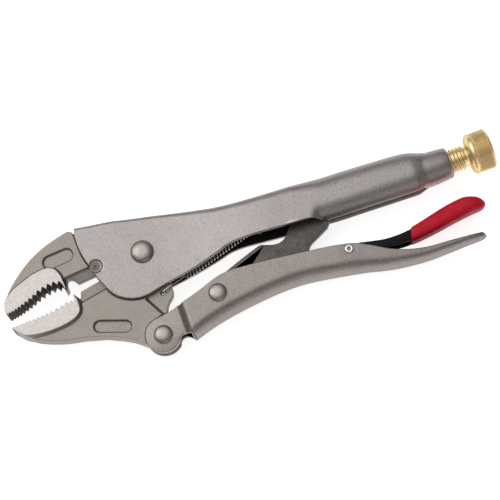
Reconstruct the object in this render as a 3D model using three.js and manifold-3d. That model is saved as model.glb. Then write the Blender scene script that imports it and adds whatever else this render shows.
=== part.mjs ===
// Curved-jaw locking pliers with a wire cutter, lying on one side.
// Millimetres, +Z up. Local frame: the jaw pivot is the origin, X runs along the fixed
// handle towards the adjusting knob, Y towards the back of the fixed handle, and Z = 0
// is the mid-plane that the two halves mirror about.
import * as THREE from 'three';
import * as BufferGeometryUtils from 'three/addons/utils/BufferGeometryUtils.js';
import Module from 'manifold-3d';

const wasm = await Module();
wasm.setup();

// ---------------------------------------------------------------- driving dimensions
const GAP = 0.3;              // running gap between neighbouring pieces
const PIVOT = [0, 0];         // fixed handle to moving jaw
const JAW_PIN = [-3.4, -42.7];   // moving jaw to moving handle
const LINK_PIN = [28, -33.2];    // moving handle to toggle link
const LEVER_PIN = [94.5, -34.9]; // moving handle to release lever
const JAW_RIVET = [-23.6, 1.2];  // holds the fixed jaw in the fixed handle
const SPRING_HOLE = [3, -22.2];
const SPRING_ANCHOR = [57, -7.2];
const SCREW_Y = -8.3;         // height of the screw's axis
const ANCHOR_R = 1.1;         // spring anchor pin

const SHEET = 2.2;            // fixed handle wall
const CHEEK = 5.6;            // half width of the fixed handle at the jaws
const GRIP = 9.8;             // half width of the fixed handle at the grip
const ANCHOR_REACH = GRIP - SHEET + 1;   // half its length: its ends sit in the walls
const TANG = CHEEK - SHEET - GAP;   // half thickness of what sits between the cheeks
const JAW_BODY = 3.9;         // half thickness of the jaw forgings
const JAW_PAD = 5.9;          // half thickness at the toothed pads
const CUTTER_LAND = 1.2;      // half width of the wire cutter's edge

const MOVING_SHEET = 2.0;     // moving handle wall
const EAR = 4.3;              // half width at the moving handle's ears
const MOVING_HALF = 8.0;      // half width at its channel
const EAR_R = 8.8;
const JAW_END_R = 8.2;
const JAW_END = EAR - MOVING_SHEET - GAP;  // half thickness between the ears

const SCREW_TIP_X = 98.4;
const THREAD_START_X = 141;
const THREAD_END_X = 163.8;
const THREAD_R = 5.9;
const THREAD_ROOT_R = 5.0;
const THREAD_PITCH = 1.75;
const COLLAR_R = 8;
const COLLAR_BORE_R = THREAD_R + GAP;
const COLLAR_END_X = 155.6;
const KNOB_X = [165.3, 177];
const KNOB_R = 10;

const LINK_HALF = 2.5;
const LINK_HUB_HALF = MOVING_HALF - MOVING_SHEET - GAP;
const LEVER_HALF = 4.4;
const GRIP_HALF = 5.3;

const COIL_R = 1.6;           // to the middle of the wire
const WIRE_R = 0.42;
const COIL_TURNS = 22;

// ---------------------------------------------------------------- looks
const STEEL = { roughness: 0.42, metalness: 0.85 };
const LOOKS = {
  handle: { color: 0xaca6a4, ...STEEL },
  moving: { color: 0x9f9792, ...STEEL },
  jaw: { color: 0xafa7a0, roughness: 0.5, metalness: 0.8 },
  rivet: { color: 0xbbb2ae, roughness: 0.35, metalness: 0.9 },
  link: { color: 0x5c5757, roughness: 0.5, metalness: 0.8 },
  lever: { color: 0x282121, roughness: 0.4, metalness: 0.6 },
  vinyl: { color: 0x991f2c, roughness: 0.35, metalness: 0.0 },
  nickel: { color: 0xe0dcd6, roughness: 0.25, metalness: 1.0 },
  brass: { color: 0xbaa56f, roughness: 0.35, metalness: 0.9 },
  spring: { color: 0x8a8480, roughness: 0.3, metalness: 1.0 },
};

// ---------------------------------------------------------------- shape helpers
function solid(geometry) {
  const bare = geometry.index ? geometry.toNonIndexed() : geometry.clone();
  bare.deleteAttribute('normal');
  bare.deleteAttribute('uv');
  const merged = BufferGeometryUtils.mergeVertices(bare, 1e-4);
  const vertProperties = new Float32Array(merged.attributes.position.array);
  const triVerts = new Uint32Array(merged.index.array);
  const made = new wasm.Manifold(new wasm.Mesh({ numProp: 3, vertProperties, triVerts }));
  if (made.volume() > 0) return made;
  return new wasm.Manifold(new wasm.Mesh({ numProp: 3, vertProperties, triVerts: triVerts.reverse() }));
}

function geometryOf(manifold) {
  const mesh = manifold.getMesh();
  const geometry = new THREE.BufferGeometry();
  geometry.setAttribute('position', new THREE.BufferAttribute(mesh.vertProperties, 3));
  geometry.setIndex(new THREE.BufferAttribute(mesh.triVerts, 1));
  return geometry;
}

// Points along a smooth curve through the given [x, y] points.
function curve(points, count) {
  const line = new THREE.SplineCurve(points.map(([x, y]) => new THREE.Vector2(x, y)));
  return line.getPoints(count).map((p) => [p.x, p.y]);
}

function arc([cx, cy], r, fromDeg, toDeg, count) {
  const points = [];
  for (let i = 0; i <= count; i += 1) {
    const a = THREE.MathUtils.degToRad(fromDeg + ((toDeg - fromDeg) * i) / count);
    points.push([cx + r * Math.cos(a), cy + r * Math.sin(a)]);
  }
  return points;
}

// A flat plate of the outline, between two heights, with its rim chamfered by bevel.
function plate(points, z0, z1, bevel = 0) {
  const shape = new THREE.Shape(points.map(([x, y]) => new THREE.Vector2(x, y)));
  const geometry = new THREE.ExtrudeGeometry(shape, {
    depth: z1 - z0 - 2 * bevel,
    bevelEnabled: bevel > 0,
    bevelThickness: bevel,
    bevelSize: bevel,
    bevelOffset: -bevel,
    bevelSegments: 1,
    steps: 1,
  });
  geometry.translate(0, 0, z0 + bevel);
  return solid(geometry);
}

const slab = (points, half, bevel = 0) => plate(points, -half, half, bevel);

function disc([x, y], r, z0, z1, segments = 28) {
  const geometry = new THREE.CylinderGeometry(r, r, z1 - z0, segments);
  geometry.rotateX(Math.PI / 2);
  geometry.translate(x, y, (z0 + z1) / 2);
  return solid(geometry);
}

// A turned piece whose profile [radius, height] stands on the Z axis at a point.
function turnedZ([x, y], profile, segments = 28) {
  const geometry = new THREE.LatheGeometry(profile.map(([r, h]) => new THREE.Vector2(r, h)), segments);
  geometry.rotateX(Math.PI / 2);
  geometry.translate(x, y, 0);
  return solid(geometry);
}

// A turned piece whose profile [radius, x] lies along the screw's axis.
function turnedX(profile, segments = 36) {
  const geometry = new THREE.LatheGeometry(profile.map(([r, x]) => new THREE.Vector2(r, x)), segments);
  geometry.rotateZ(-Math.PI / 2);
  geometry.translate(0, SCREW_Y, 0);
  return solid(geometry);
}

// A rounded slot's outline: length over all, width, centre and slope.
function slot([cx, cy], length, width, slopeDeg) {
  const reach = (length - width) / 2;
  const slope = THREE.MathUtils.degToRad(slopeDeg);
  const dx = reach * Math.cos(slope);
  const dy = reach * Math.sin(slope);
  return [
    ...arc([cx + dx, cy + dy], width / 2, slopeDeg - 90, slopeDeg + 90, 8),
    ...arc([cx - dx, cy - dy], width / 2, slopeDeg + 90, slopeDeg + 270, 8),
  ];
}

// Straight-line interpolation in a list of [x, value] pairs.
function along(table, x) {
  if (x <= table[0][0]) return table[0][1];
  for (let i = 1; i < table.length; i += 1) {
    const [x1, v1] = table[i];
    const [x0, v0] = table[i - 1];
    if (x <= x1) return v0 + ((v1 - v0) * (x - x0)) / (x1 - x0);
  }
  return table[table.length - 1][1];
}

// A smooth version of the same, through a spline.
function smoothAlong(table) {
  const line = new THREE.SplineCurve(table.map(([x, v]) => new THREE.Vector2(x, v)));
  const fine = line.getPoints(table.length * 12).map((p) => [p.x, p.y]);
  return (x) => along(fine, x);
}

// Skin of a bent sheet: each station is a ring of outer points then inner points back.
function loft(rings) {
  const ring = rings[0].length;
  const half = ring / 2;
  const positions = rings.flat(2);
  const faces = [];
  const last = rings.length - 1;
  for (let i = 0; i < last; i += 1) {
    for (let j = 0; j < ring; j += 1) {
      const k = (j + 1) % ring;
      const [a, b, c, d] = [i * ring + j, i * ring + k, (i + 1) * ring + k, (i + 1) * ring + j];
      faces.push(a, b, c, a, c, d);
    }
  }
  for (let j = 0; j < half - 1; j += 1) {
    const [a, b, c, d] = [j, j + 1, ring - 2 - j, ring - 1 - j];
    faces.push(a, c, b, a, d, c);
    const e = last * ring;
    faces.push(e + a, e + b, e + c, e + a, e + c, e + d);
  }
  const geometry = new THREE.BufferGeometry();
  geometry.setAttribute('position', new THREE.Float32BufferAttribute(positions, 3));
  geometry.setIndex(faces);
  return solid(geometry);
}

const all = (pieces) => pieces.reduce((whole, piece) => whole.add(piece));
const mirrored = (make) => make(1).add(make(-1));

// ---------------------------------------------------------------- fixed handle
const BACK = smoothAlong([
  [-30, 24], [-20, 22.1], [-10, 20.6], [0, 18.1], [10, 16], [20, 13.5], [30, 11.1], [40, 8.9],
  [50, 7.7], [60, 6.9], [80, 6.1], [100, 5.5], [120, 4.4], [134, 3.3], [137, 2.8], [143, -0.2], [150, -0.3],
]);
// The cheeks flare from the jaws to the grip, and the grip necks down to the collar.
function halfWidth(x) {
  const flare = THREE.MathUtils.smoothstep(x, 6, 66);
  const neck = THREE.MathUtils.smoothstep(x, 136, 143);
  return CHEEK + (GRIP - CHEEK) * flare - (GRIP - COLLAR_R) * neck;
}
const BACK_ROUND = [[-30, 1.8], [0, 2.2], [20, 3], [40, 4.3], [60, 4.8], [82, 5.6], [92, 8.4], [136, 9], [143, 7.5]];
const UNDERSIDE = [[-30, -40], [80, -40], [89, -16.3], [136, -17.9], [143, -16.3], [150, -16.3]];
const UNDER_ROUND = 6.5;
const SLOT_HALF = 3.1;
const STATIONS = [-30, -15, 0, 10, 18, 26, 34, 42, 52, 66, 80, 84, 87, 90, 100, 118, 136, 138, 141, 143, 145];

// Half of a bent section, from the free edge round to the middle of the back: [z, y].
function halfSection(half, back, backRound, under, underRound, lip) {
  const points = [];
  const low = Math.min(underRound, half - lip - 0.1);
  points.push([lip, under]);
  points.push(...arc([half - low, under + low], low, -90, 0, 4));
  points.push(...arc([half - backRound, back - backRound], backRound, 0, 90, 5));
  points.push([0, back]);
  return points;
}

function sheetRing(x, sheet, section) {
  const outer = section(0);
  const inner = section(sheet);
  const whole = (side) => [...side, ...side.slice(0, -1).reverse().map(([z, y]) => [-z, y])];
  return [...whole(outer), ...whole(inner).reverse()].map(([z, y]) => [x, y, z]);
}

function fixedHandleRing(x) {
  const half = halfWidth(x);
  const back = BACK(x);
  const round = Math.min(along(BACK_ROUND, x), half - 0.4);
  const under = along(UNDERSIDE, x);
  return sheetRing(x, SHEET, (inset) => halfSection(
    half - inset,
    back - inset,
    Math.max(round - inset, 0.4),
    under + inset,
    UNDER_ROUND - inset,
    SLOT_HALF,
  ));
}

// Side view of the cheeks: everything outside this outline is cut away.
function fixedHandleSide() {
  return [
    ...curve([[-27.6, 26], [-28.9, 16.2], [-28.3, 8.8], [-27, 3.5], [-25.1, -2.8], [-23.2, -8], [-20.3, -14.2]], 14),
    ...curve([[-17.2, -17.6], [-13, -20.2], [-8, -21.5], [-3, -21.3], [5, -19.6], [20, -17.1], [34, -13.8]], 14),
    ...curve([[41, -11.8], [50, -11.5], [70, -13.1], [81, -13.9], [86, -15.6]], 8),
    [90, -20],
    [150, -20],
    [150, 26],
  ];
}

function collar() {
  const neck = [
    [COLLAR_BORE_R, 137.5],
    [7.8, 137.5],
    [COLLAR_R, 144],
    [COLLAR_R, COLLAR_END_X - 0.7],
    [COLLAR_R - 0.7, COLLAR_END_X],
    [COLLAR_BORE_R, COLLAR_END_X],
    [COLLAR_BORE_R, 137.5],
  ];
  return turnedX(neck, 36);
}

function fixedHandle() {
  const channel = loft(STATIONS.map(fixedHandleRing));
  const bore = turnedX([[0, 125], [COLLAR_BORE_R, 125], [COLLAR_BORE_R, 160], [0, 160]], 36);
  const countersink = (side) => disc(JAW_RIVET, 3.4, side > 0 ? CHEEK - 1 : -CHEEK - 1, side > 0 ? CHEEK + 1 : 1 - CHEEK);
  return channel
    .intersect(slab(fixedHandleSide(), 20))
    .add(collar())
    .subtract(bore)
    .subtract(disc(PIVOT, 4 + GAP, -12, 12))
    .subtract(disc(JAW_RIVET, 2.2 + GAP, -12, 12, 20))
    .subtract(mirrored(countersink))
    .subtract(disc(SPRING_ANCHOR, ANCHOR_R + GAP, -ANCHOR_REACH - GAP, ANCHOR_REACH + GAP, 16));
}

// ---------------------------------------------------------------- jaws
// A toothed edge along a curve of tips: pitch and depth grow from the nose to the throat.
function teeth(tips, pitchRange, depthRange, into) {
  const [start, end] = [tips[0][0], tips[tips.length - 1][0]];
  const tipLine = smoothAlong(tips);
  const points = [[start, tipLine(start)]];
  let x = start;
  while (x < end - 0.5) {
    const t = (x - start) / (end - start);
    const pitch = THREE.MathUtils.lerp(...pitchRange, Math.min(1, t * 1.6));
    const depth = THREE.MathUtils.lerp(...depthRange, Math.min(1, t * 1.6));
    const next = Math.min(x + pitch, end);
    const gullet = x + 0.42 * (next - x);
    points.push([gullet, tipLine(gullet) + into * depth]);
    points.push([next, tipLine(next)]);
    x = next;
  }
  return points;
}

// The two wedges that thin a cutter down to its edge. The line runs along the bevel's
// start, v is the distance from it towards the edge.
function cutterBevels([x0, y0], [x1, y1], reach, towards) {
  const length = Math.hypot(x1 - x0, y1 - y0);
  const section = [[0, JAW_BODY - 0.9], [0, 8], [reach + 4, 8], [reach + 4, CUTTER_LAND], [reach, CUTTER_LAND]];
  const wedge = (side) => {
    const shape = new THREE.Shape(section.map(([v, z]) => new THREE.Vector2(v * towards, z * side)));
    const geometry = new THREE.ExtrudeGeometry(shape, { depth: length, bevelEnabled: false, steps: 1 });
    const u = new THREE.Vector3((x1 - x0) / length, (y1 - y0) / length, 0);
    const v = new THREE.Vector3(-u.y, u.x, 0);
    geometry.applyMatrix4(new THREE.Matrix4().makeBasis(v, new THREE.Vector3(0, 0, 1), u));
    geometry.translate(x0, y0, 0);
    return solid(geometry);
  };
  return mirrored(wedge);
}

const FIXED_TIPS = [[-72.3, -7.6], [-66, -6.5], [-62, -5.4], [-58, -4.1], [-54, -2.5], [-50, -1.6], [-46, -1.2], [-41.6, -2.2]];
const MOVING_TIPS = [[-71.8, -13.7], [-66, -13.7], [-60, -13.4], [-54, -13], [-50, -12.5], [-46, -11.7], [-42, -10.9], [-38.6, -11.2]];

function fixedJaw() {
  const body = slab([
    ...curve([[-71.6, -8.4], [-72.2, -4.5], [-70.4, 0.8], [-65, 7.3], [-55, 15.1], [-45, 20], [-35, 22.9], [-31.3, 23.5]], 22),
    [-29.5, 22.5],
    ...curve([[-29.3, 16.2], [-28.7, 8.8], [-27.4, 3.4], [-25.6, -2.2]], 6),
    [-34.5, -3],
    ...curve([[-35, -2.2], [-36.4, -0.1], [-38.2, 0.7], [-40, -0.6], [-41.4, -3.2]], 8),
    [-44, -6],
    [-56, -9],
  ], JAW_BODY, 0.6);
  const pad = slab([
    ...curve([[-72.2, -9], [-72.3, -4], [-70.8, 0], [-68.5, 2]], 6),
    ...curve([[-65, 4.1], [-60, 6], [-55, 7.8], [-50, 8.7], [-46.5, 8.6], [-43.5, 7.6], [-41.6, 5.6], [-40.6, 2.5]], 12),
    [-40.7, -4],
    [-44, -7],
    [-56, -10],
  ], JAW_PAD, 0.5);
  const tang = slab([
    [-32, 21],
    [-30, 22],
    [-26, 20.8],
    [-15.5, 18.6],
    ...arc(PIVOT, 16, 122, 176, 7),
    [-17.5, -1.2],
    [-26, -2.2],
    [-32, 0],
  ], TANG);
  const bite = slab([...teeth(FIXED_TIPS, [1.35, 2.9], [0.8, 2.3], 1), [-41.3, -3.6], [-41.3, -20], [-80, -20], [-80, -7]], 9);
  const pocket = (side) => plate(slot([-40, 12], 16, 7.2, 4), side > 0 ? JAW_BODY - 0.8 : -6, side > 0 ? 6 : 0.8 - JAW_BODY);
  return body
    .subtract(cutterBevels([-40, 1.6], [-24, 3], 5.2, -1))
    .add(pad)
    .add(tang)
    .subtract(bite)
    .subtract(mirrored(pocket))
    .subtract(disc(JAW_RIVET, 2.2 + GAP, -12, 12, 20));
}

function movingJaw() {
  const body = slab([
    ...curve([[-71.8, -13], [-71.4, -15.2], [-68.6, -18.4], [-65, -21.2], [-60, -24.3], [-50, -28.2], [-40, -30.4]], 12),
    ...curve([[-30, -33.2], [-20, -38.2], [-14, -42.8], [-9.5, -47.6]], 6),
    ...arc(JAW_PIN, JAW_END_R, 220, 330, 8),
    [0, -38],
    [0.2, -33.2],
    ...curve([[-2.6, -22], [-8, -22], [-13.2, -20.7], [-17.7, -18], [-20.9, -14.4], [-23.8, -8], [-24.6, -5.2]], 12),
    [-34.8, -7.2],
    ...curve([[-35.2, -9.2], [-36, -10.8], [-37.2, -11.6]], 4),
    [-42, -9],
    [-60, -11],
  ], JAW_BODY, 0.6);
  const pad = slab([
    ...curve([[-71.8, -12], [-71.8, -15.5], [-69.8, -18.6], [-66.5, -20.9]], 5),
    ...curve([[-60, -21.6], [-52, -21.9], [-45, -21], [-40.6, -19.2], [-38.7, -16.8], [-38.1, -14]], 10),
    [-38.2, -11.4],
    [-39.5, -9],
    [-46, -9],
    [-60, -11],
  ], JAW_PAD, 0.5);
  const tang = slab([
    ...arc(PIVOT, 12.4, -15, 160, 16),
    ...curve([[-15.5, -2.6], [-20, -4.4], [-26, -5.6]], 4),
    [-26, -12],
    [-16, -24],
    [-3, -34.5],
    [0.4, -32.8],
    ...curve([[1.6, -32.4], [2.8, -30], [4.2, -27.8], [6.8, -25.3], [8, -22.6], [7.7, -21]], 8),
    [9.6, -12],
  ], TANG);
  const end = slab([
    ...arc(JAW_PIN, JAW_END_R, 200, 370, 12),
    [2, -36],
    [0.3, -32.9],
    [-12, -33],
  ], JAW_END);
  const bite = slab([...teeth(MOVING_TIPS, [1.35, 2.7], [0.7, 1.6], -1), [-38.3, -9.9], [-38.3, 0], [-80, 0], [-80, -13]], 9);
  const pocket = (side) => plate(slot([-25.2, -30], 19, 6.4, -20), side > 0 ? JAW_BODY - 0.8 : -6, side > 0 ? 6 : 0.8 - JAW_BODY);
  // Room for the moving handle's ears, either side of the jaw's thin end.
  const earRoom = (side) => {
    const [z0, z1] = side > 0 ? [JAW_END, 9] : [-9, -JAW_END];
    const neck = [[-3.4, -33.5], [0, -32.8], [8, -30.4], [12, -50], [-3.4, -55]];
    return disc(JAW_PIN, EAR_R + GAP, z0, z1, 36).add(plate(neck, z0, z1));
  };
  return body
    .subtract(cutterBevels([-36, -13.7], [-20, -10.7], 6.1, 1))
    .add(pad)
    .add(tang)
    .subtract(mirrored(earRoom))
    .add(end)
    .subtract(bite)
    .subtract(mirrored(pocket))
    .subtract(disc(PIVOT, 4 + GAP, -12, 12))
    .subtract(disc(JAW_PIN, 3 + GAP, -12, 12, 24))
    .subtract(disc(SPRING_HOLE, 1.4, -12, 12, 16));
}

// ---------------------------------------------------------------- moving handle
const RIM = smoothAlong([
  [6, -31.9], [10, -31.6], [20, -28.8], [28, -26], [34, -24.7], [40, -24.7], [50, -25.6], [60, -26.7], [70, -28.1],
  [80, -29.4], [90, -31.2], [98, -33.2], [105, -36.7], [112, -40.8], [120, -44.3], [130, -46.6], [140, -47.2], [152, -48], [160, -49],
]);
const FLOOR = smoothAlong([
  [6, -49.8], [11, -48.6], [20, -46], [30, -43.8], [40, -42.3], [50, -41.2], [60, -40.6], [70, -40.9],
  [80, -42.3], [90, -44.1], [100, -46.2], [110, -48.7], [120, -50.1], [130, -50.8], [140, -50.7], [150, -50.3], [160, -50.1],
]);
const MOVING_WIDTH = [
  [6, EAR], [7.4, EAR], [10.4, MOVING_HALF], [100, MOVING_HALF], [110, 7.7], [120, 7.2], [130, 6.5], [140, 5.7],
  [150, 4.9], [155, 4.3], [158, 3.4], [159.4, 2.4],
];
const FLOOR_ROUND = [[6, 2], [10.4, 4], [100, 4], [110, 3.6], [120, 3], [130, 2.4], [160, 2.2]];
const MOVING_STATIONS = [6, 7.4, 10.4, 20, 30, 40, 52, 64, 74, 84, 94, 101, 108, 115, 122, 130, 140, 150, 155, 158, 159.4];

function movingHandleRing(x) {
  const half = along(MOVING_WIDTH, x);
  const floor = FLOOR(x);
  const round = Math.min(along(FLOOR_ROUND, x), half - 0.3);
  const section = (inset) => {
    const r = Math.max(round - inset, 0.2);
    const rim = Math.max(RIM(x), floor + inset + r + 0.02);
    const w = Math.max(half - inset, 0.3);
    return [
      [w, rim],
      ...arc([w - r, floor + inset + r], r, 0, -90, 5),
      [0, floor + inset],
    ];
  };
  return sheetRing(x, MOVING_SHEET, section).reverse();
}

function movingHandle() {
  const channel = loft(MOVING_STATIONS.map(movingHandleRing));
  const ear = (side) => plate([
    ...arc(JAW_PIN, EAR_R, 95, 335, 22),
    [5, -47],
    [7.4, -47.2],
    [7.4, -31.8],
    [2, -33],
  ], side > 0 ? EAR - MOVING_SHEET : -EAR, side > 0 ? EAR : MOVING_SHEET - EAR);
  const notch = disc([6.6, -51.6], 4.5, -12, 12, 28);
  const mouth = slab([[3, -44], [9.6, -44], [9.6, -60], [3, -60]], EAR - MOVING_SHEET);
  return channel
    .add(mirrored(ear))
    .subtract(notch)
    .subtract(mouth)
    .subtract(disc(JAW_PIN, 3 + GAP, -12, 12, 24))
    .subtract(disc(LINK_PIN, 3 + GAP, -12, 12, 24))
    .subtract(disc(LEVER_PIN, 1.6 + GAP, -12, 12, 20));
}

// ---------------------------------------------------------------- toggle link
function toggleLink() {
  const arm = slab([
    ...curve([[28, -26.6], [35, -22.9], [53, -16.6], [57, -16.8], [60.5, -18], [64, -18.3], [67, -17.2], [69.4, -14.6]], 16),
    ...curve([[74, -9.4], [80, -6.2], [88, -4.8], [91.5, -4.9]], 6),
    ...arc([91.5, -9], 4, 80, -60, 7),
    ...curve([[89.5, -18.3], [85, -20.7], [79, -23.9], [77, -27.1], [76, -31]], 8),
    ...curve([[72, -32.6], [60, -34.5], [45, -37.5], [30, -39.7]], 8),
    ...arc(LINK_PIN, 6.6, 275, 90, 12).slice(1),
  ], LINK_HALF);
  const hub = disc(LINK_PIN, 6.2, -LINK_HUB_HALF, LINK_HUB_HALF, 28);
  return arm.add(hub).subtract(disc(LINK_PIN, 3 + GAP, -12, 12, 24));
}

// ---------------------------------------------------------------- release lever
function releaseLever() {
  const outline = [
    ...curve([[78, -35.4], [84, -34.4], [90, -33.4], [95, -32.4], [100, -32.9], [107, -34.6], [113, -35.8], [120, -36], [125.4, -35.7]], 16),
    ...curve([[126.2, -36.7], [140, -34.2], [157, -31.9]], 5),
    ...curve([[157, -33.9], [140, -36.9], [126, -39.1]], 5),
    ...curve([[124.6, -40.1], [119, -40], [108, -39], [94, -38.8], [82, -38.6], [77.5, -37.2]], 8),
  ];
  const inside = [
    ...curve([[70, -36.8], [84, -36], [90, -35], [100, -34.5], [107, -36.2], [113, -37.4], [123, -37.6]], 10),
    [123, -45],
    [70, -45],
  ];
  const tail = slab([[126, -20], [170, -20], [170, -50], [123.9, -50]], 12);
  const narrow = slab([[120, -20], [170, -20], [170, -50], [120, -50]], 3);
  const whole = slab(outline, LEVER_HALF);
  const boss = disc(LEVER_PIN, 3.2, -LEVER_HALF, LEVER_HALF, 20);
  return whole
    .subtract(slab(inside, LEVER_HALF - 1.6))
    .subtract(tail)
    .add(whole.intersect(narrow))
    .add(boss)
    .subtract(disc(LEVER_PIN, 1.6 + GAP, -12, 12, 20));
}

function leverGrip() {
  const outer = slab([
    [126.4, -36],
    ...curve([[128, -33.9], [133, -32], [140, -30.3], [150, -28.7], [156, -28.5], [161, -30.2], [164, -33.4]], 14),
    ...curve([[164.1, -35.3], [161.5, -36.8], [156, -37.4], [148, -38.6], [138, -40.3], [130, -41.2], [124.6, -41.4]], 12),
  ], GRIP_HALF, 1.6);
  const cavity = slab([
    [120, -34],
    [127.5, -36],
    ...curve([[128, -36], [140, -33.6], [157.4, -31.4]], 5),
    ...curve([[157.4, -34.4], [140, -37.4], [126, -39.6]], 5),
    [120, -41],
  ], 3 + GAP);
  return outer.subtract(cavity);
}

// ---------------------------------------------------------------- screw and knob
// A right-handed thread with its core: crest and root points climb one pitch per turn,
// and the last point of each step joins the first point of the next turn.
function thread(x0, x1) {
  const turn = 12;
  const section = [[0, THREAD_R], [0.2, THREAD_R], [0.5, THREAD_ROOT_R], [0.7, THREAD_ROOT_R]];
  const across = section.length;
  const steps = Math.ceil((x1 - x0) / THREAD_PITCH) * turn;
  const positions = [];
  for (let k = 0; k <= steps + turn; k += 1) {
    const a = (2 * Math.PI * k) / turn;
    section.forEach(([dx, r]) => {
      positions.push(x0 + THREAD_PITCH * (k / turn + dx), SCREW_Y + r * Math.cos(a), r * Math.sin(a));
    });
  }
  const at = (k, p) => (p < across ? k * across + p : (k + turn) * across);
  const faces = [];
  for (let k = 0; k < steps; k += 1) {
    for (let p = 0; p < across; p += 1) {
      faces.push(at(k, p), at(k + 1, p), at(k + 1, p + 1), at(k, p), at(k + 1, p + 1), at(k, p + 1));
    }
  }
  [0, steps].forEach((k, end) => {
    positions.push(x0 + THREAD_PITCH * (k / turn + 0.7), SCREW_Y, 0);
    const hub = positions.length / 3 - 1;
    const loop = [];
    for (let p = 0; p <= across; p += 1) loop.push(at(k, p));
    for (let j = turn - 1; j > 0; j -= 1) loop.push(at(k + j, 0));
    loop.forEach((v, i) => {
      const next = loop[(i + 1) % loop.length];
      faces.push(...(end ? [hub, next, v] : [hub, v, next]));
    });
  });
  const geometry = new THREE.BufferGeometry();
  geometry.setAttribute('position', new THREE.Float32BufferAttribute(positions, 3));
  geometry.setIndex(faces);
  return solid(geometry);
}

function adjustingScrew() {
  const shank = turnedX([
    [0, SCREW_TIP_X],
    [3.8, SCREW_TIP_X],
    [4.7, SCREW_TIP_X + 1.2],
    [4.7, THREAD_END_X + 0.6],
    [4.3, THREAD_END_X + 0.6],
    [4.3, KNOB_X[1] - 3],
    [0, KNOB_X[1] - 3],
  ], 20);
  const length = turnedX([
    [0, THREAD_START_X],
    [THREAD_ROOT_R, THREAD_START_X],
    [THREAD_R + 0.3, THREAD_START_X + 1.4],
    [THREAD_R + 0.3, THREAD_END_X - 0.8],
    [THREAD_ROOT_R - 0.2, THREAD_END_X],
    [0, THREAD_END_X],
  ], 12);
  return shank.add(thread(THREAD_START_X - 2, THREAD_END_X + 2).intersect(length));
}

// Raised diamonds: alternate points of the knurled band stand out by the knurl's depth.
function knurl(x0, x1, around, rows, depth) {
  const positions = [];
  const faces = [];
  for (let i = 0; i <= rows; i += 1) {
    for (let j = 0; j < around; j += 1) {
      const a = (2 * Math.PI * j) / around;
      const r = KNOB_R - ((i + j) % 2 ? depth : 0);
      positions.push(x0 + ((x1 - x0) * i) / rows, SCREW_Y + r * Math.cos(a), r * Math.sin(a));
    }
  }
  const at = (i, j) => i * around + (j % around);
  for (let i = 0; i < rows; i += 1) {
    for (let j = 0; j < around; j += 1) {
      const [a, b, c, d] = [at(i, j), at(i + 1, j), at(i + 1, j + 1), at(i, j + 1)];
      if ((i + j) % 2) faces.push(a, b, d, b, c, d);
      else faces.push(a, b, c, a, c, d);
    }
  }
  [x0, x1].forEach((x, end) => {
    positions.push(x, SCREW_Y, 0);
    const hub = positions.length / 3 - 1;
    for (let j = 0; j < around; j += 1) {
      const [a, b] = end ? [at(rows, j + 1), at(rows, j)] : [at(0, j), at(0, j + 1)];
      faces.push(hub, a, b);
    }
  });
  const geometry = new THREE.BufferGeometry();
  geometry.setAttribute('position', new THREE.Float32BufferAttribute(positions, 3));
  geometry.setIndex(faces);
  return solid(geometry);
}

function adjustingKnob() {
  const [x0, x1] = KNOB_X;
  const blank = turnedX([
    [0, x0],
    [KNOB_R - 1.6, x0],
    [KNOB_R - 0.2, x0 + 1.4],
    [KNOB_R - 0.2, x0 + 3],
    [KNOB_R - 0.6, x0 + 3.4],
    [KNOB_R - 0.6, x1 - 1],
    [KNOB_R - 1.6, x1],
    [0, x1],
  ], 48);
  const bore = turnedX([[0, x0 - 1], [4.3 + GAP, x0 - 1], [4.3 + GAP, x1 - 3 + GAP], [0, x1 - 3 + GAP]], 24);
  return blank.add(knurl(x0 + 3.6, x1 - 1.2, 56, 6, 0.4)).subtract(bore);
}

// ---------------------------------------------------------------- rivets and pins
// A headed rivet through the whole width: both heads domed, face is where they bear.
function domedRivet(centre, shankR, headR, face, height) {
  const half = [
    [shankR, 0],
    [shankR, face + 0.05],
    [headR, face + 0.05],
    [headR, face + 0.35],
    [headR * 0.88, face + height * 0.55],
    [headR * 0.62, face + height * 0.85],
    [headR * 0.32, face + height * 0.97],
    [0, face + height],
  ];
  const other = half.slice(1).reverse().map(([r, h]) => [r, -h]);
  return turnedZ(centre, [...other, ...half.slice(1)], 24);
}

function flushRivet() {
  const face = CHEEK - 0.35;
  const seat = CHEEK - 1 + 0.05;
  const profile = [[0, face - 0.7], [0.9, face], [3.1, face], [3.1, seat], [2.2, seat]];
  const other = profile.map(([r, h]) => [r, -h]);
  return turnedZ(JAW_RIVET, [...other, ...profile.reverse()], 24);
}

function hollowRivet() {
  const face = MOVING_HALF;
  const profile = [[0, face - 1.6], [0.8, face - 1.2], [0.9, face + 0.5], [1.5, face + 0.6], [2.15, face + 0.25], [2.15, face + 0.05], [1.6, face + 0.05]];
  const other = profile.map(([r, h]) => [r, -h]);
  return turnedZ(LEVER_PIN, [...other, ...profile.reverse()], 20);
}

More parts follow.
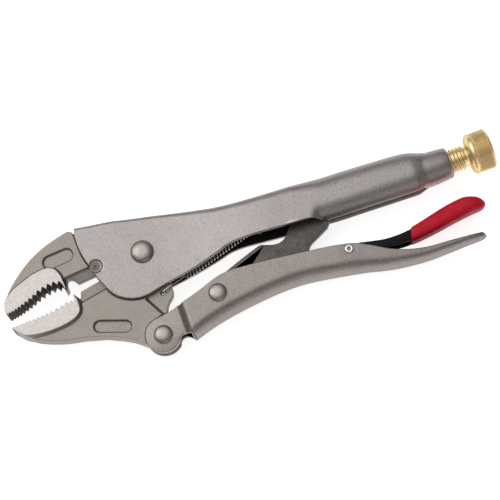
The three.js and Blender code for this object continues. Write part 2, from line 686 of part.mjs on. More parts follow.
// ---------------------------------------------------------------- return spring
function returnSpring() {
  const [ax, ay] = SPRING_ANCHOR;
  const slope = Math.atan2(-11.4 + 17.2, 40 - 15);
  const from = [15, -17.2];
  const to = [52, -17.2 + 37 * Math.tan(slope)];
  // The front hook goes through the tab's hole and back over the tab to the coil.
  const [hx, hy] = SPRING_HOLE;
  const side = TANG + 0.9;
  const path = [
    [hx - 1.2, hy - 0.6, -side],
    [hx, hy, -side + 0.5],
    [hx, hy, side - 0.5],
    [hx + 0.6, hy + 0.2, side],
    [hx + 5.2, hy + 1.7, side],
    [hx + 9.5, hy + 3.6, COIL_R + 0.2],
  ];
  const steps = COIL_TURNS * 8;
  for (let i = 0; i <= steps; i += 1) {
    const t = i / steps;
    const a = 2 * Math.PI * COIL_TURNS * t;
    const across = COIL_R * Math.sin(a);
    const x = from[0] + (to[0] - from[0]) * t;
    const y = from[1] + (to[1] - from[1]) * t;
    path.push([x - across * Math.sin(slope), y + across * Math.cos(slope), COIL_R * Math.cos(a)]);
  }
  path.push([ax - 1.6, ay + 1.1, 0.8]);
  path.push([ax + 0.2, ay + 1.75, 0]);
  path.push([ax + 1.8, ay, -0.4]);
  const line = new THREE.CatmullRomCurve3(path.map((p) => new THREE.Vector3(...p)), false, 'centripetal');
  const section = new THREE.Shape(arc([0, 0], WIRE_R, 0, 300, 5).map(([x, y]) => new THREE.Vector2(x, y)));
  return solid(new THREE.ExtrudeGeometry(section, { steps: path.length, extrudePath: line, bevelEnabled: false }));
}

function springAnchor() {
  return disc(SPRING_ANCHOR, ANCHOR_R, -ANCHOR_REACH, ANCHOR_REACH, 16);
}

// ---------------------------------------------------------------- assembly
const pliers = new THREE.Group();
const tool = new THREE.Group();
pliers.add(tool);

function place(name, manifold, look) {
  const mesh = new THREE.Mesh(geometryOf(manifold), new THREE.MeshStandardMaterial(look));
  mesh.name = name;
  tool.add(mesh);
}

place('fixed_handle', fixedHandle(), LOOKS.handle);
place('fixed_jaw', fixedJaw(), LOOKS.jaw);
place('fixed_jaw_rivet', flushRivet(), LOOKS.rivet);
place('jaw_pivot_rivet', domedRivet(PIVOT, 4, 5.7, CHEEK, 2.5), LOOKS.rivet);
place('moving_jaw', movingJaw(), LOOKS.jaw);
place('moving_handle', movingHandle(), LOOKS.moving);
place('moving_handle_rivet', domedRivet(JAW_PIN, 3, 4.6, EAR, 2.1), LOOKS.rivet);
place('link_rivet', domedRivet(LINK_PIN, 3, 4.5, MOVING_HALF, 2), LOOKS.rivet);
place('toggle_link', toggleLink(), LOOKS.link);
place('release_lever', releaseLever(), LOOKS.lever);
place('release_lever_grip', leverGrip(), LOOKS.vinyl);
place('release_lever_pin', hollowRivet(), LOOKS.nickel);
place('adjusting_screw', adjustingScrew(), LOOKS.brass);
place('adjusting_knob', adjustingKnob(), LOOKS.brass);
place('return_spring', returnSpring(), LOOKS.spring);
place('spring_anchor', springAnchor(), LOOKS.link);

// The origin is the middle of the underside of everything.
const bounds = new THREE.Box3().setFromObject(tool);
tool.position.set(
  -(bounds.min.x + bounds.max.x) / 2,
  -(bounds.min.y + bounds.max.y) / 2,
  -bounds.min.z,
);
pliers.updateMatrixWorld(true);

export default pliers;
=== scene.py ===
"""Looks of the curved-jaw locking pliers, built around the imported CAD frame.

Shapes are worked out in millimetres in the part's own frame: the jaw pivot is the origin, X runs
along the fixed handle towards the knob, Y towards the back of the fixed handle, and Z = 0 is the
mid-plane. They become metres in the row frame when a piece is made.
"""
import math

import bmesh
import bpy
import numpy as np
from mathutils import Matrix, Vector


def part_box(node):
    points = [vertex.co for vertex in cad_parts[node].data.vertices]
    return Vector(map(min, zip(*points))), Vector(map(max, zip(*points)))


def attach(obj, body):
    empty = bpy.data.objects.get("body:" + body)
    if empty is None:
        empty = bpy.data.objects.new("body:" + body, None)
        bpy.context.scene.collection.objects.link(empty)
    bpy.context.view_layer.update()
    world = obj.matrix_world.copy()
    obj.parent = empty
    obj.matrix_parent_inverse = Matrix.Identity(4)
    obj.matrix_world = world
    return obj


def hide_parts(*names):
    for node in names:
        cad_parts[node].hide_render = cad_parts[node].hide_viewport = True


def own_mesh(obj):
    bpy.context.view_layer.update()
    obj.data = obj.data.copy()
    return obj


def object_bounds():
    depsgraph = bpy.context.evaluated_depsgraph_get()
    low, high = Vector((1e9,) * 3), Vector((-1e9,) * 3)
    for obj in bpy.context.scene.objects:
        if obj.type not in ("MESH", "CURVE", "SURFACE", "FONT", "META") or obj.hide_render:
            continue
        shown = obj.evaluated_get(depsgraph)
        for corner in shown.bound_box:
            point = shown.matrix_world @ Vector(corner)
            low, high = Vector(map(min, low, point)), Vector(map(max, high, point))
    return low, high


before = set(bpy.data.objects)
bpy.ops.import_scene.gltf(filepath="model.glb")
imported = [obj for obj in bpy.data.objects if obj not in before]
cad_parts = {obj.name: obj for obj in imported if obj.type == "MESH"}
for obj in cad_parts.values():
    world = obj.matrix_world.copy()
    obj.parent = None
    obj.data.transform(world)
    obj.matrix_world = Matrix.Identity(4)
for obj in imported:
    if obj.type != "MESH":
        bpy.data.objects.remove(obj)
CAD_BOX = [list(corner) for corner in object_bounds()]

# ---- driving dimensions, mm
MM = 0.001


def middle(node):
    low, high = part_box(node)
    return (low + high) / 2


ORIGIN = middle("jaw_pivot_rivet")


def local(node):
    """The middle of a CAD node in the part's frame, in millimetres."""
    return (middle(node) - ORIGIN) / MM


def half_size(node):
    """Half of a CAD node's box, in millimetres."""
    low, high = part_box(node)
    return (high - low) / 2 / MM


JAW_PIN = tuple(local("moving_handle_rivet"))[:2]
LINK_PIN = tuple(local("link_rivet"))[:2]
LEVER_PIN = tuple(local("release_lever_pin"))[:2]
JAW_RIVET = tuple(local("fixed_jaw_rivet"))[:2]
SPRING_ANCHOR = tuple(local("spring_anchor"))[:2]
SPRING_HOLE = (3.0, -22.2)
KNOB_X, SCREW_Y, _ = local("adjusting_knob")
KNOB_HALF, KNOB_R, _ = half_size("adjusting_knob")
KNOB_X0, KNOB_X1 = KNOB_X - KNOB_HALF, KNOB_X + KNOB_HALF

SHEET = 2.2
CHEEK = 5.6
GRIP = 9.8
TANG = 3.1
TAB_HALF = 2.3
JAW_BODY = 3.9
JAW_PAD = half_size("fixed_jaw")[2]
CUTTER_LAND = 1.2
POCKET_DEPTH = 1.3
POCKET_DRAFT = 0.45
MOVING_SHEET = 2.0
EAR = 4.3
MOVING_HALF = half_size("moving_handle")[2]
EAR_R = 8.8
JAW_END_R = 8.2
JAW_END = 2.0
COLLAR_BORE_R = 6.2
COLLAR_END_X = 155.6
THREAD_R = 5.9
THREAD_ROOT_R = 5.0
THREAD_PITCH = 1.75
THREAD_X = (141.0, 163.8)
SCREW_TIP_X = 98.4
LINK_HALF = 2.5
LINK_END_R = 6.6
LINK_HUB_R = 6.2
LINK_HUB_HALF = 5.7
LEVER_HALF = 4.4
LEVER_SHEET = 1.6
TONGUE_HALF = 3.0
GRIP_HALF = 5.3
COIL_R = 1.6
WIRE_R = 0.4
COIL_TURNS = 22
COIL_START = (15.0, -17.8)
COIL_SPAN_X = 37.0
COIL_SLOPE = math.atan2(7.4, 25)
KNOB_BORE_R = 4.55
KNOB_END = 2.6
KNURLS = 46
KNURL_DEPTH = 0.45
PAST = 12.0  # half height of a cutting solid, past every piece


# ---- curves
def curve(points, count):
    """count + 1 points along a Catmull-Rom spline through the given points."""
    p = np.array(points, float)
    last = len(p) - 1
    out = []
    for i in range(count + 1):
        at = i / count * last
        k = min(int(at), last - 1)
        t = at - k
        a, b, c, d = (p[min(max(j, 0), last)] for j in (k - 1, k, k + 1, k + 2))
        v0, v1 = (c - a) / 2, (d - b) / 2
        out.append((2 * b - 2 * c + v0 + v1) * t**3 + (-3 * b + 3 * c - 2 * v0 - v1) * t**2 + v0 * t + b)
    return [tuple(q) for q in out]


def arc(centre, r, start, end, count):
    angles = np.radians(np.linspace(start, end, count + 1))
    return [(centre[0] + r * math.cos(a), centre[1] + r * math.sin(a)) for a in angles]


def slot_outline(centre, length, width, slope):
    """A round-ended slot, its long axis at this slope in degrees."""
    middles = arc(centre, (length - width) / 2, slope, slope + 180, 1)
    ends = zip(middles, (slope - 90, slope + 90))
    return [p for at, start in ends for p in arc(at, width / 2, start, start + 180, 24)]


def smooth_table(points):
    """y as a function of x, through a spline."""
    fine = np.array(curve(points, len(points) * 16))
    return lambda x: float(np.interp(x, fine[:, 0], fine[:, 1]))


def table(points):
    xs, ys = zip(*points)
    return lambda x: float(np.interp(x, xs, ys))


def smoothstep(x, low, high):
    t = min(max((x - low) / (high - low), 0), 1)
    return t * t * (3 - 2 * t)


def resample(path, fractions):
    """Points at these fractions of a polyline's length."""
    p = np.array(path, float)
    steps = np.linalg.norm(np.diff(p, axis=0), axis=1)
    length = np.insert(np.cumsum(steps), 0, 0)
    at = np.array(fractions) * length[-1]
    return np.stack([np.interp(at, length, column) for column in p.T], 1)


# ---- meshes
MERGE = 1e-7  # metres
VOXEL = 0.2
SMOOTHING_PASSES = 4
WIRE_SIDES = 10


def in_scene(name, data):
    obj = bpy.data.objects.new(name, data)
    bpy.context.scene.collection.objects.link(obj)
    return obj


def mesh_object(name, vertices, faces, slots=(), marks=()):
    """A new object from points in the part's frame, in millimetres. marks: each face's slot."""
    mesh = bpy.data.meshes.new(name)
    placed = np.array(vertices, float) * MM + np.array(ORIGIN)
    mesh.from_pydata(placed.tolist(), [], [tuple(f) for f in faces])
    for material in slots:
        mesh.materials.append(material)
    if len(marks):
        mesh.polygons.foreach_set("material_index", marks)
    mesh.update()
    obj = in_scene(name, mesh)
    tidy(obj)
    return obj


def tidy(obj):
    """Merges points that coincide and turns every face outwards."""
    work = bmesh.new()
    work.from_mesh(obj.data)
    bmesh.ops.remove_doubles(work, verts=work.verts, dist=MERGE)
    bmesh.ops.dissolve_degenerate(work, edges=work.edges, dist=MERGE)
    bmesh.ops.recalc_face_normals(work, faces=work.faces)
    work.to_mesh(obj.data)
    work.free()


def ringed(name, rings):
    """A closed solid through rings of the same number of points, with a flat face at each end."""
    n = len(rings[0])
    top = (len(rings) - 1) * n
    faces = [list(range(n))[::-1], list(range(top, top + n))]
    for low in range(0, top, n):
        faces += [[low + i, low + (i + 1) % n, low + n + (i + 1) % n, low + n + i] for i in range(n)]
    return mesh_object(name, [point for ring in rings for point in ring], faces)


def stacked(name, levels):
    """A closed solid through outlines in the cheek's plane, each at its own height."""
    return ringed(name, [[(x, y, z) for x, y in loop] for z, loop in levels])


def prism(name, outline, z0, z1):
    """A straight plate of the outline between two heights."""
    return stacked(name, [(z0, outline), (z1, outline)])


def plate(name, outline, half):
    """A straight plate of the outline, the same above and below the mid-plane."""
    return prism(name, outline, -half, half)


def turned(name, profile, place, segments):
    """Revolves [radius, height] round an axis: place puts (radius cos, radius sin, height)."""
    angles = [2 * math.pi * k / segments for k in range(segments)]
    vertices, rows, faces = [], [], []
    for r, h in profile:
        count = segments if r > 0 else 1
        rows.append([len(vertices) + k % count for k in range(segments)])
        vertices += [place(r * math.cos(a), r * math.sin(a), h) for a in angles[:count]]
    for low, high in zip(rows, rows[1:]):
        for k in range(segments):
            j = (k + 1) % segments
            face = list(dict.fromkeys((low[k], low[j], high[j], high[k])))
            if len(face) > 2:
                faces.append(face)
    return mesh_object(name, vertices, faces)


def turned_z(name, centre, profile, segments):
    return turned(name, profile, lambda c, s, h: (centre[0] + c, centre[1] + s, h), segments)


def turned_x(name, profile, segments=96):
    return turned(name, profile, lambda c, s, h: (h, SCREW_Y + c, s), segments)


def spool(name, centre, half, segments=72):
    """Turned about Z, the same above and below. half: [radius, height] from the axis outwards."""
    return turned_z(name, centre, [(r, -h) for r, h in half] + half[::-1], segments)


def apply_modifiers(obj):
    """Replaces the object's mesh with what its modifiers make of it."""
    graph = bpy.context.evaluated_depsgraph_get()
    made = bpy.data.meshes.new_from_object(obj.evaluated_get(graph), depsgraph=graph)
    old = obj.data
    obj.modifiers.clear()
    obj.data = made
    bpy.data.meshes.remove(old)
    return obj


def combine(obj, others, operation):
    """One boolean after another, each with a closed solid, which is then removed."""
    for other in others:
        step = obj.modifiers.new(operation, "BOOLEAN")
        step.operation = operation
        step.solver = "MANIFOLD"
        step.object = other
        apply_modifiers(obj)
        mesh = other.data
        bpy.data.objects.remove(other)
        bpy.data.meshes.remove(mesh)
    return obj


def add(obj, *others):
    return combine(obj, others, "UNION")


def cut(obj, *others):
    return combine(obj, others, "DIFFERENCE")


def keep(obj, *others):
    return combine(obj, others, "INTERSECT")


def round_edges(obj, width, angle, segments=3):
    bevel = obj.modifiers.new("rounded edges", "BEVEL")
    bevel.limit_method = "ANGLE"
    bevel.angle_limit = math.radians(angle)
    bevel.width = width * MM
    bevel.segments = segments
    bevel.use_clamp_overlap = False
    bevel.miter_outer = "MITER_ARC"
    return apply_modifiers(obj)


def forged(obj):
    """Even small faces all over, and edges softened as on a forging."""
    remesh = obj.modifiers.new("remesh", "REMESH")
    remesh.mode = "VOXEL"
    remesh.voxel_size = VOXEL * MM
    remesh.adaptivity = 0
    soft = obj.modifiers.new("soften", "SMOOTH")
    soft.factor = 0.5
    soft.iterations = SMOOTHING_PASSES
    return apply_modifiers(obj)


def both_sides(make):
    return [make(1), make(-1)]


def heights(side, near, far):
    """z0, z1 of a plate between two distances from the mid-plane, on one side."""
    return (near, far) if side > 0 else (-far, -near)


def disc(name, centre, r, side, near, far, segments):
    """A round plate between two distances from the mid-plane, on one side."""
    z0, z1 = heights(side, near, far)
    return turned_z(name, centre, [(0, z0), (r, z0), (r, z1), (0, z1)], segments)


def show(obj, body, node, slot, *materials, angle=40):
    """Shades a piece smooth up to the angle, gives it its materials and ties it to the CAD."""
    slots = obj.data.materials
    for i, material in enumerate(materials):
        if i < len(slots):
            slots[i] = material
        else:
            slots.append(material)
    for polygon in obj.data.polygons:
        polygon.use_smooth = True
    obj.data.set_sharp_from_angle(angle=math.radians(angle))
    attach(obj, body)
    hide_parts(node)
    return obj


# ---- materials
def srgb(*display):
    """Linear colour of an 8-bit display colour."""
    shares = (v / 255 for v in display)
    return (*(v / 12.92 if v <= 0.04045 else ((v + 0.055) / 1.055) ** 2.4 for v in shares), 1)


def grey(level):
    return (level, level, level, 1)


def tone(colour, factor):
    return tuple(min(1, c * factor) for c in colour[:3]) + (1,)


class Nodes:
    """Short names for building a material's node tree on a new Principled material."""

    def __init__(self, name):
        self.material = bpy.data.materials.new(name)
        self.material.use_nodes = True
        self.tree = self.material.node_tree
        self.shader = self.tree.nodes["Principled BSDF"]
        self.coordinates = self.tree.nodes.new("ShaderNodeTexCoord").outputs["Object"]

    def node(self, kind, **values):
        made = self.tree.nodes.new(kind)
        for key, value in values.items():
            setattr(made, key, value)
        return made

    def link(self, output, target):
        self.tree.links.new(output, target)

    def set(self, **values):
        for key, value in values.items():
            self.shader.inputs[key.replace("_", " ")].default_value = value

    def noise(self, scale, detail=4.0, rough=0.6, stretch=(1, 1, 1), turn=0.0):
        """Noise on the object's coordinates. scale: spots a millimetre. turn: about Z."""
        mapping = self.node("ShaderNodeMapping")
        mapping.inputs["Scale"].default_value = [scale * s / MM for s in stretch]
        mapping.inputs["Rotation"].default_value = (0, 0, turn)
        noise = self.node("ShaderNodeTexNoise")
        noise.inputs["Scale"].default_value = 1
        noise.inputs["Detail"].default_value = detail
        noise.inputs["Roughness"].default_value = rough
        self.link(self.coordinates, mapping.inputs["Vector"])
        self.link(mapping.outputs["Vector"], noise.inputs["Vector"])
        return noise.outputs["Fac"]

    def range(self, value, low, high, to_low, to_high):
        mapped = self.node("ShaderNodeMapRange")
        ends = {"From Min": low, "From Max": high, "To Min": to_low, "To Max": to_high}
        for name, number in ends.items():
            mapped.inputs[name].default_value = number
        self.link(value, mapped.inputs["Value"])
        return mapped.outputs["Result"]

    def ramp(self, value, *stops):
        ramp = self.node("ShaderNodeValToRGB")
        elements = ramp.color_ramp.elements
        while len(elements) < len(stops):
            elements.new(0.5)
        for element, (position, colour) in zip(elements, stops):
            element.position = position
            element.color = colour
        self.link(value, ramp.inputs["Fac"])
        return ramp.outputs["Color"]

    def mix(self, factor, first, second, blend="MIX"):
        mix = self.node("ShaderNodeMix", data_type="RGBA", blend_type=blend)
        for name, value in (("Factor", factor), ("A", first), ("B", second)):
            if isinstance(value, bpy.types.NodeSocket):
                self.link(value, mix.inputs[name])
            else:
                mix.inputs[name].default_value = value
        return mix.outputs["Result"]

    def tones(self, value, colour, dark, light):
        """The colour, darker where the value is low and lighter where it is high."""
        return self.ramp(value, (0.3, tone(colour, dark)), (0.7, tone(colour, light)))

    def stained(self, share, base, value, *stops):
        """The base colour times what a ramp makes of the value."""
        return self.mix(share, base, self.ramp(value, *stops), "MULTIPLY")

    def sum(self, first, second, share):
        """first plus share times second."""
        add_node = self.node("ShaderNodeMath", operation="MULTIPLY_ADD")
        self.link(second, add_node.inputs[0])
        add_node.inputs[1].default_value = share
        self.link(first, add_node.inputs[2])
        return add_node.outputs["Value"]

    def pointiness(self, low, high):
        geometry = self.node("ShaderNodeNewGeometry")
        return self.range(geometry.outputs["Pointiness"], low, high, 0, 1)

    def drive(self, name, output):
        self.link(output, self.shader.inputs[name])

    def roughness(self, value, low, high):
        self.drive("Roughness", self.range(value, 0.3, 0.7, low, high))

    def bump(self, height, depth):
        """depth in millimetres."""
        bump = self.node("ShaderNodeBump")
        bump.inputs["Distance"].default_value = depth * MM
        bump.inputs["Strength"].default_value = 1
        self.link(height, bump.inputs["Height"])
        self.drive("Normal", bump.outputs["Normal"])


def blasted_steel(name, colour, roughness=0.42, grain=0.010):
    """Bead-blasted plated steel: fine grain, soft mottling, brighter edges that are part wear and part
    painted highlight, and painted shade in concave corners.
    """
    n = Nodes(name)
    fine = n.noise(3.2, detail=3, rough=0.7)
    broad = n.noise(0.16, detail=5)
    specks = n.noise(1.3, detail=6, rough=0.75)
    dark, pale, light = (0.55, 0.54, 0.53, 1), grey(0.90), (1.0, 0.99, 0.97, 1)
    mottled = n.tones(broad, colour, 0.95, 1.05)
    speckled = n.stained(1.0, mottled, specks, (0.36, dark), (0.5, pale), (0.64, light))
    # lighter on sharp convex edges: part rubbed wear, part painted highlight
    worn_and_highlit = n.mix(n.pointiness(0.52, 0.60), speckled, tone(colour, 1.3))
    # much darker in concave corners and creases: painted shade
    n.drive("Base Color", n.mix(n.pointiness(0.488, 0.44), worn_and_highlit, tone(colour, 0.18)))
    n.set(Metallic=0.9)
    n.roughness(specks, roughness - 0.07, roughness + 0.09)
    n.bump(n.sum(fine, specks, 0.8), grain)
    return n.material


def ground_steel(name, colour):
    """A face ground flat after forging: bright, with fine lines along X."""
    n = Nodes(name)
    lines = n.noise(1.0, detail=5, rough=0.7, stretch=(0.12, 5, 1), turn=math.radians(-8))
    broad = n.noise(0.45, detail=5)
    specks = n.noise(1.6, detail=5, rough=0.75)
    lined = n.stained(0.7, n.tones(broad, colour, 0.90, 1.07), lines, (0.35, grey(0.8)), (0.65, grey(1)))
    spotted = n.stained(0.8, lined, specks, (0.36, (0.72, 0.71, 0.70, 1)), (0.52, grey(1)))
    n.drive("Base Color", spotted)
    n.set(Metallic=0.75)
    n.roughness(lines, 0.3, 0.42)
    n.bump(lines, 0.006)
    return n.material


def dark_steel(name, colour, roughness=0.5, metallic=0.7, specular=0.5):
    """Blackened steel with a fine grain and brighter edges, part rubbed wear and part painted highlight."""
    n = Nodes(name)
    fine = n.noise(2.6, rough=0.7)
    specks = n.noise(1.2, detail=5, rough=0.75)
    base = n.tones(n.noise(0.3), colour, 0.8, 1.25)
    speckled = n.stained(0.9, base, specks, (0.38, grey(0.6)), (0.62, (1, 0.99, 0.98, 1)))
    # lighter on sharp edges: part rubbed wear, part painted highlight
    n.drive("Base Color", n.mix(n.pointiness(0.53, 0.62), speckled, tone(colour, 2.0)))
    n.set(Metallic=metallic, Specular_IOR_Level=specular)
    n.roughness(fine, roughness - 0.08, roughness + 0.1)
    n.bump(fine, 0.012)
    return n.material


def polished(name, colour, roughness):
    """Plated small parts: smooth, with faint spots."""
    n = Nodes(name)
    spots = n.noise(1.8, detail=5, rough=0.7)
    n.drive("Base Color", n.ramp(spots, (0.35, tone(colour, 0.85)), (0.6, tone(colour, 1.05))))
    n.set(Metallic=1.0)
    n.roughness(spots, roughness - 0.05, roughness + 0.08)
    n.bump(spots, 0.004)
    return n.material


def yellow_zinc(name, colour):
    """Yellow chromate on zinc: gold, drifting to a greener and a rosier tint, with painted highlight on sharp
    edges and painted shade in hollows.
    """
    n = Nodes(name)
    drift = n.noise(0.12, detail=3)
    grain = n.noise(2.5, rough=0.7)
    tint = n.ramp(drift, (0.3, srgb(243, 213, 153)), (0.5, colour), (0.7, srgb(248, 207, 168)))
    base = n.stained(0.6, tint, grain, (0.35, grey(0.8)), (0.6, grey(1)))
    # painted highlight: lighter on sharp edges and knurl crests
    highlit_edges = n.mix(n.pointiness(0.51, 0.58), base, tone(colour, 1.6))
    # painted shade: darker in hollows such as the knurl's and thread's grooves
    n.drive("Base Color", n.mix(n.pointiness(0.47, 0.38), highlit_edges, tone(colour, 0.55)))
    n.set(Metallic=0.95, Specular_Tint=(0.55, 0.42, 0.24, 1))
    n.roughness(grain, 0.25, 0.4)
    n.bump(grain, 0.006)
    return n.material


def dipped_vinyl(name, colour):
    """Thick dip with a soft gloss and a slight orange peel."""
    n = Nodes(name)
    peel = n.noise(0.9, detail=2)
    specks = n.noise(3.0, rough=0.8)
    base = n.tones(n.noise(0.2, detail=3), colour, 0.82, 1.15)
    n.drive("Base Color", n.stained(0.35, base, specks, (0.4, (0.75, 0.7, 0.7, 1)), (0.6, grey(1))))
    n.set(Metallic=0.0, Coat_Weight=0.05, Coat_Roughness=0.25, IOR=1.4, Specular_IOR_Level=0.3)
    n.roughness(peel, 0.4, 0.52)
    n.bump(n.sum(peel, specks, 0.25), 0.03)
    return n.material


HANDLE = blasted_steel("handle steel", srgb(168, 162, 160))
MOVING = blasted_steel("moving handle steel", srgb(155, 147, 143))
JAW = blasted_steel("jaw forging", srgb(158, 151, 144), roughness=0.48, grain=0.014)
RIVET = blasted_steel("rivet steel", srgb(167, 160, 156), roughness=0.31, grain=0.006)
GROUND = ground_steel("ground pad", srgb(194, 187, 183))
# painted shade: a darker copy of the jaw forging for the pad's sloping flanks
FLANK_SHADE = blasted_steel("forged flank", srgb(146, 137, 127), roughness=0.5, grain=0.014)
COINED = blasted_steel("coined rivet", srgb(138, 130, 126), roughness=0.38, grain=0.006)
# painted shade: near-black for the teeth's side walls
TOOTH_SHADE = dark_steel("tooth flank", srgb(48, 44, 41), roughness=0.55)
# painted shade: dark for the inner faces of both handles' channels
CHANNEL_SHADE = dark_steel("inside of the channel", srgb(58, 52, 51), roughness=0.6)
LINK = dark_steel("link steel", srgb(108, 102, 100), roughness=0.5)
LEVER = dark_steel("black lever", srgb(25, 20, 20), roughness=0.5, metallic=0.1, specular=0.15)
SPRING = polished("spring wire", srgb(190, 183, 174), roughness=0.22)
NICKEL = polished("bright nickel", srgb(235, 230, 222), roughness=0.18)
BRASS = yellow_zinc("yellow zinc", srgb(246, 213, 160))
VINYL = dipped_vinyl("red vinyl", srgb(204, 10, 42))

# ---- fixed handle
BACK = smooth_table([
    (-30, 24.1), (-20, 22.4), (-10, 20.9), (0, 18.5), (10, 16.4), (20, 13.9), (30, 11.5), (40, 9.3),
    (50, 7.9), (60, 7.0), (80, 6.1), (100, 5.6), (120, 4.6), (132, 3.8), (137, 2.9), (140, 1.9),
    (143, 0.8), (147, 0.0),
])
BACK_ROUND = table([
    (-30, 1.8), (0, 2.2), (20, 3), (40, 4.3), (60, 4.8), (78, 5.4), (94, 9.3), (136, 9.3), (143, 7.2),
])
UNDER = smooth_table([
    (-18.7, -16.2), (-17.2, -17.6), (-13, -20.2), (-8, -21.5), (-3, -21.3), (5, -19.6), (20, -17.1),
    (34, -13.8), (41, -11.8), (50, -11.5), (70, -13.1), (81, -13.9), (87, -15.7), (94, -16.6),
    (110, -17.1), (134, -17.8), (138, -17.5), (142, -16.4), (147, -15.3),
])
FRONT = smooth_table([
    (-16.2, -18.7), (-14.2, -20.3), (-8, -23.2), (-2.8, -25.1), (3.5, -27), (8.8, -28.3), (16.2, -28.9),
    (26, -27.6),
])
FRONT_X = -24.0
FLARE_X = (6, 66)
CURL_X = (81, 89)
CURL_R = 8.6
CURL_TURN = math.radians(78)
NECK_X = (136, 147)
NECK_HALF = 7.3
HANDLE_END_X = 147.0
COLLAR_X0 = 138.5
DIMPLE_R = 3.3


def mirrored_row(half_row):
    """A row from one edge to the mid-plane, carried on to the other edge."""
    return half_row + [(-z, y) for z, y in half_row[:-1][::-1]]


def handle_half(x):
    """Half width of the fixed handle: cheeks, flare, grip, neck."""
    flare = (GRIP - CHEEK) * smoothstep(x, *FLARE_X)
    return CHEEK + flare - (GRIP - NECK_HALF) * smoothstep(x, *NECK_X)


def handle_section(x, inset):
    """Points across the handle, from one free edge over the back to the other."""
    half, back = handle_half(x), BACK(x)
    turn = CURL_TURN * smoothstep(x, *CURL_X)
    curl_r = min(CURL_R, half - 0.6)
    centre = (half - curl_r, UNDER(x) + curl_r * math.sin(turn))
    lower = arc(centre, curl_r - inset, -math.degrees(turn), 0, 8)
    round_r = max(min(BACK_ROUND(x), half - 0.4) - inset, 0.4)
    top = back - inset - round_r
    wall = resample([*lower, (half - inset, top)], [0, *np.linspace(0.03, 1, 18)])
    corner = arc((half - inset - round_r, top), round_r, 0, 90, 9)[1:]
    flat = [(z, back - inset) for z in np.linspace(half - inset - round_r, 0, 4)[1:]]
    return mirrored_row([tuple(p) for p in wall] + corner + flat)


def closed_skin(name, row, stations, sheet, outside):
    """A solid sheet: row(station, inset) gives the points across it at a depth below its outside. Its inner
    faces take the second material, painted shade.
    """
    outer, inner = ([row(at, inset) for at in stations] for inset in (0, sheet))
    rows, across = len(outer), len(outer[0])
    base = rows * across
    faces = []
    for i in range(rows - 1):
        for j in range(across - 1):
            a = i * across + j
            ring = [a, a + 1, a + across + 1, a + across]
            faces += [ring, [base + v for v in ring[::-1]]]
    grid = np.arange(base).reshape(rows, across)
    rim = [*grid[0, :-1], *grid[:-1, -1], *grid[-1, :0:-1], *grid[:0:-1, 0]]
    marks = [0, 1] * (len(faces) // 2) + [0] * len(rim)
    faces += [[b, a, base + a, base + b] for a, b in zip(rim, rim[1:] + rim[:1])]
    vertices = [point for points in outer + inner for point in points]
    return mesh_object(name, vertices, faces, (outside, CHANNEL_SHADE), marks)


def fixed_handle():
    front = [FRONT(y) for z, y in handle_section(FRONT_X, 0)]
    shares = np.interp(range(100), (0, 33, 52, 71, 86, 99), (0, 0.32, 0.60, 0.72, 0.93, 1))
    shares = np.insert(shares, 1, 0.004)

    def row(share, inset):
        points = []
        for j, start in enumerate(front):
            x = start + (HANDLE_END_X - start) * share
            z, y = handle_section(x, inset)[j]
            points.append((x, y, z))
        return points

    shell = closed_skin("fixed_handle_shell", row, shares, SHEET, HANDLE)
    end = COLLAR_END_X
    neck = [
        (COLLAR_BORE_R, COLLAR_X0), (7.4, COLLAR_X0), (8.35, 141), (8.45, 143.5), (8.3, 147.5), (8.0, 151.5),
        (7.75, end - 1.4), (7.5, end - 0.6), (7.1, end - 0.12), (6.8, end), (6.6, end),
        (COLLAR_BORE_R, end - 0.6), (COLLAR_BORE_R, COLLAR_X0),
    ]
    x0, x1 = 120, COLLAR_X0 + 0.1
    bore = turned_x("bore", [(0, x0), (COLLAR_BORE_R, x0), (COLLAR_BORE_R, x1), (0, x1)])
    dimples = both_sides(lambda side: disc("dimple", JAW_RIVET, DIMPLE_R, side, CHEEK - 1, CHEEK + 1, 48))
    cut(shell, bore, *dimples)
    round_edges(shell, 0.4, 38)
    return add(shell, turned_x("collar", neck))


# ---- moving handle
RIM = smooth_table([
    (6, -31.9), (10, -31.6), (20, -28.8), (28, -26), (34, -24.7), (40, -24.7), (50, -25.6), (60, -26.7),
    (70, -28.1), (80, -29.4), (90, -31), (98, -32.9), (105, -36.5), (112, -40.8), (120, -44.3),
    (130, -46.6), (140, -47.2), (152, -48), (160, -48.7),
])
FLOOR = smooth_table([
    (6, -49.8), (11, -48.7), (20, -46.2), (30, -44), (40, -42.5), (50, -41.4), (60, -40.8), (70, -41.1),
    (80, -42.5), (90, -44.3), (100, -46.4), (110, -48.8), (120, -50.2), (130, -50.9), (140, -50.8),
    (150, -50.6), (160, -50.7),
])
MOVING_WIDTH = table([
    (6, EAR), (6.8, EAR), (7.7, EAR + 0.5), (10.1, MOVING_HALF - 0.5), (11.2, MOVING_HALF),
    (90, MOVING_HALF), (100, MOVING_HALF - 0.5), (110, 7.4), (120, 6.9), (130, 6.3), (140, 5.7),
    (150, 5.0), (155, 4.7), (156.6, 4.2), (157.8, 3.4), (158.6, 2.4), (159, 1.5), (159.2, 0.7),
])
FLOOR_ROUND = table([
    (6, 2), (11.2, 4.4), (20, 5.2), (100, 5.2), (110, 4.4), (120, 3.4), (130, 2.6), (160, 2.2),
])


def moving_section(x, inset):
    """Points across the channel, from one rim down over the floor to the other."""
    half, floor = MOVING_WIDTH(x), FLOOR(x) + inset
    r = max(min(FLOOR_ROUND(x), half - 0.3) - inset, 0.2)
    wall_low = floor + r
    drop = max(RIM(x) - wall_low, 0.05)
    w = max(half - inset, 0.3)
    wall = [(w, wall_low + drop * f) for f in (1, 0.95, 0.8, 0.6, 0.4, 0.2, 0)]
    corner = arc((w - r, wall_low), r, 0, -90, 8)[1:]
    reach = w - r if w - r > 0.01 else 0
    flat = [(z, floor) for z in np.linspace(reach, 0, 4)[1:]]
    return mirrored_row(wall + corner + flat)


